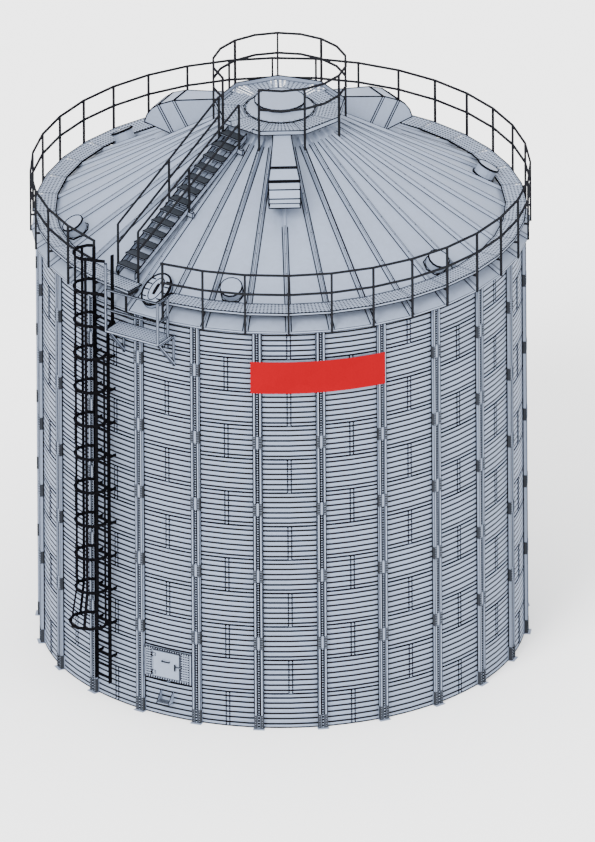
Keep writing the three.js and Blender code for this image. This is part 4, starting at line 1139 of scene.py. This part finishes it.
door = {
    "angle": -30, "front": 5.398, "leafFront": 5.429, "low": 0.883, "high": 1.643, "half": 0.585,
    "punched": [(-0.52, -0.43, 3), (0.35, 0.51, 4)], "rowPitch": 0.06, "rowsFrom": 0.075, "rowsTo": 0.07,
    "edgePitch": 0.06, "edgeFrom": 0.03, "edgeTo": 0.02, "edgeLow": 0.036, "edgeHigh": 0.034,
    "boltWidth": 0.04, "boltHeight": 0.01, "lineOut": (0.0003, 0.003),
    "lines": [(0.302, 0.326, 0.955, 1.6), (0.533, 0.545, 0.9, 1.63), (-0.56, -0.548, 0.9, 1.63),
              (-0.41, -0.399, 0.955, 1.6), (-0.39, 0.3, 1.588, 1.602), (-0.39, 0.3, 0.941, 0.955),
              (-0.584, 0.584, 1.628, 1.642), (-0.584, 0.584, 0.884, 0.898)],
    "leafBolts": [(-0.31, 1.487), (-0.31, 1.056)], "leafBoltWidth": 0.026, "leafBoltHeight": 0.012,
    "grips": [(-0.128, 0.069, 0.0325, 0.046, 1.359, 1.376), (0.195, 0.221, 0.029, 0.043, 1.194, 1.346)],
}


def doorSpots():
    # the punched fields at both sides of the frame, and the rows along its edges
    places = []
    for side0, side1, columns in door["punched"]:
        for i in range(columns):
            side = side0 + (side1 - side0) * i / (columns - 1)
            z = door["low"] + door["rowsFrom"]
            while z < door["high"] - door["rowsTo"]:
                places.append((side, z))
                z += door["rowPitch"]
    side = door["edgeFrom"] - door["half"]
    while side < door["half"] - door["edgeTo"]:
        places += [(side, door["low"] + door["edgeLow"]), (side, door["high"] - door["edgeHigh"])]
        side += door["edgePitch"]
    return places


def doorParts():
    angle, facing = door["angle"], seenFrom(door["angle"], 0, 1, 0)
    spots = [(seenFrom(angle, side, door["front"], z), facing) for side, z in doorSpots()]
    growBolts("doorFrameBolts", spots, door["boltWidth"], door["boltHeight"])
    front, back = (door["front"] + out for out in door["lineOut"])
    # painted shade: dark strips on the frame in the gaps round the leaf and along the frame's edges
    lines = [boxAt(angle, side0, side1, front, back, z0, z1) for side0, side1, z0, z1 in door["lines"]]
    addClosed("doorShadeLines", lines, "dark")
    leafSpots = [(seenFrom(angle, side, door["leafFront"], z), facing) for side, z in door["leafBolts"]]
    growBolts("leafBolts", leafSpots, door["leafBoltWidth"], door["leafBoltHeight"],
              body=doorBody)
    grips = [boxAt(angle, side0, side1, door["leafFront"] + out0, door["leafFront"] + out1, z0, z1)
             for side0, side1, out0, out1, z0, z1 in door["grips"]]
    addClosed("doorGrips", grips, "dark", doorBody)


doorParts()
print("door done")

# camera, lights and floor

view = {"azimuth": -1.67, "elevation": 25.8516, "roll": -0.3761, "scale": 18.6345, "right": 0.3138,
        "up": 4.4569, "distance": 60, "clipEnd": 400}


def addCamera():
    turn, tilt = math.radians(view["azimuth"]), math.radians(view["elevation"])
    roll = math.radians(view["roll"])
    flatRight = Vector((math.cos(turn), math.sin(turn), 0))
    flatUp = Vector((-math.sin(turn) * math.sin(tilt), math.cos(turn) * math.sin(tilt), math.cos(tilt)))
    right = flatRight * math.cos(roll) + flatUp * math.sin(roll)
    up = flatUp * math.cos(roll) - flatRight * math.sin(roll)
    back = right.cross(up)
    camera = bpy.data.cameras.new("camera")
    camera.type = "ORTHO"
    camera.ortho_scale = view["scale"]
    camera.clip_end = view["clipEnd"]
    holder = bpy.data.objects.new("camera", camera)
    bpy.context.scene.collection.objects.link(holder)
    place = Matrix((right, up, back)).transposed().to_4x4()
    place.translation = right * view["right"] + up * view["up"] + back * view["distance"]
    holder.matrix_world = place
    bpy.context.scene.camera = holder


light = {
    "target": (0, 0, 5), "sky": 2.8,
    "suns": {"keySun": {"strength": 5.5, "place": (-14, -22, 26), "spread": 25},
             "fillSun": {"strength": 2.0, "place": (20, -14, 12), "spread": 40}},
}
paleFloor = {"reach": 400, "z": -0.002, "colour": (0.93, 0.93, 0.93, 1), "roughness": 0.9}


def addSun(name, strength, place, spread):
    sun = bpy.data.lights.new(name, "SUN")
    sun.energy = strength
    sun.angle = math.radians(spread)
    holder = bpy.data.objects.new(name, sun)
    holder.location = place
    holder.rotation_mode = "QUATERNION"
    holder.rotation_quaternion = (Vector(light["target"]) - Vector(place)).to_track_quat("-Z", "Y")
    bpy.context.scene.collection.objects.link(holder)


def addSky():
    world = bpy.data.worlds.new("studio")
    bpy.context.scene.world = world
    world.use_nodes = True
    background = world.node_tree.nodes["Background"].inputs
    background["Color"].default_value = (1, 1, 1, 1)
    background["Strength"].default_value = light["sky"]


def addFloor():
    material, surface = addMaterial("paleFloor")
    surface.inputs["Base Color"].default_value = paleFloor["colour"]
    surface.inputs["Roughness"].default_value = paleFloor["roughness"]
    reach, z = paleFloor["reach"], paleFloor["z"]
    mesh = bpy.data.meshes.new("floor")
    corners = [(-reach, -reach, z), (reach, -reach, z), (reach, reach, z), (-reach, reach, z)]
    mesh.from_pydata(corners, [], [(0, 1, 2, 3)])
    mesh.materials.append(material)
    floor = bpy.data.objects.new("floor", mesh)
    bpy.context.scene.collection.objects.link(floor)


addCamera()
for name, values in light["suns"].items():
    addSun(name, **values)
addSky()
addFloor()
print("stage ready")
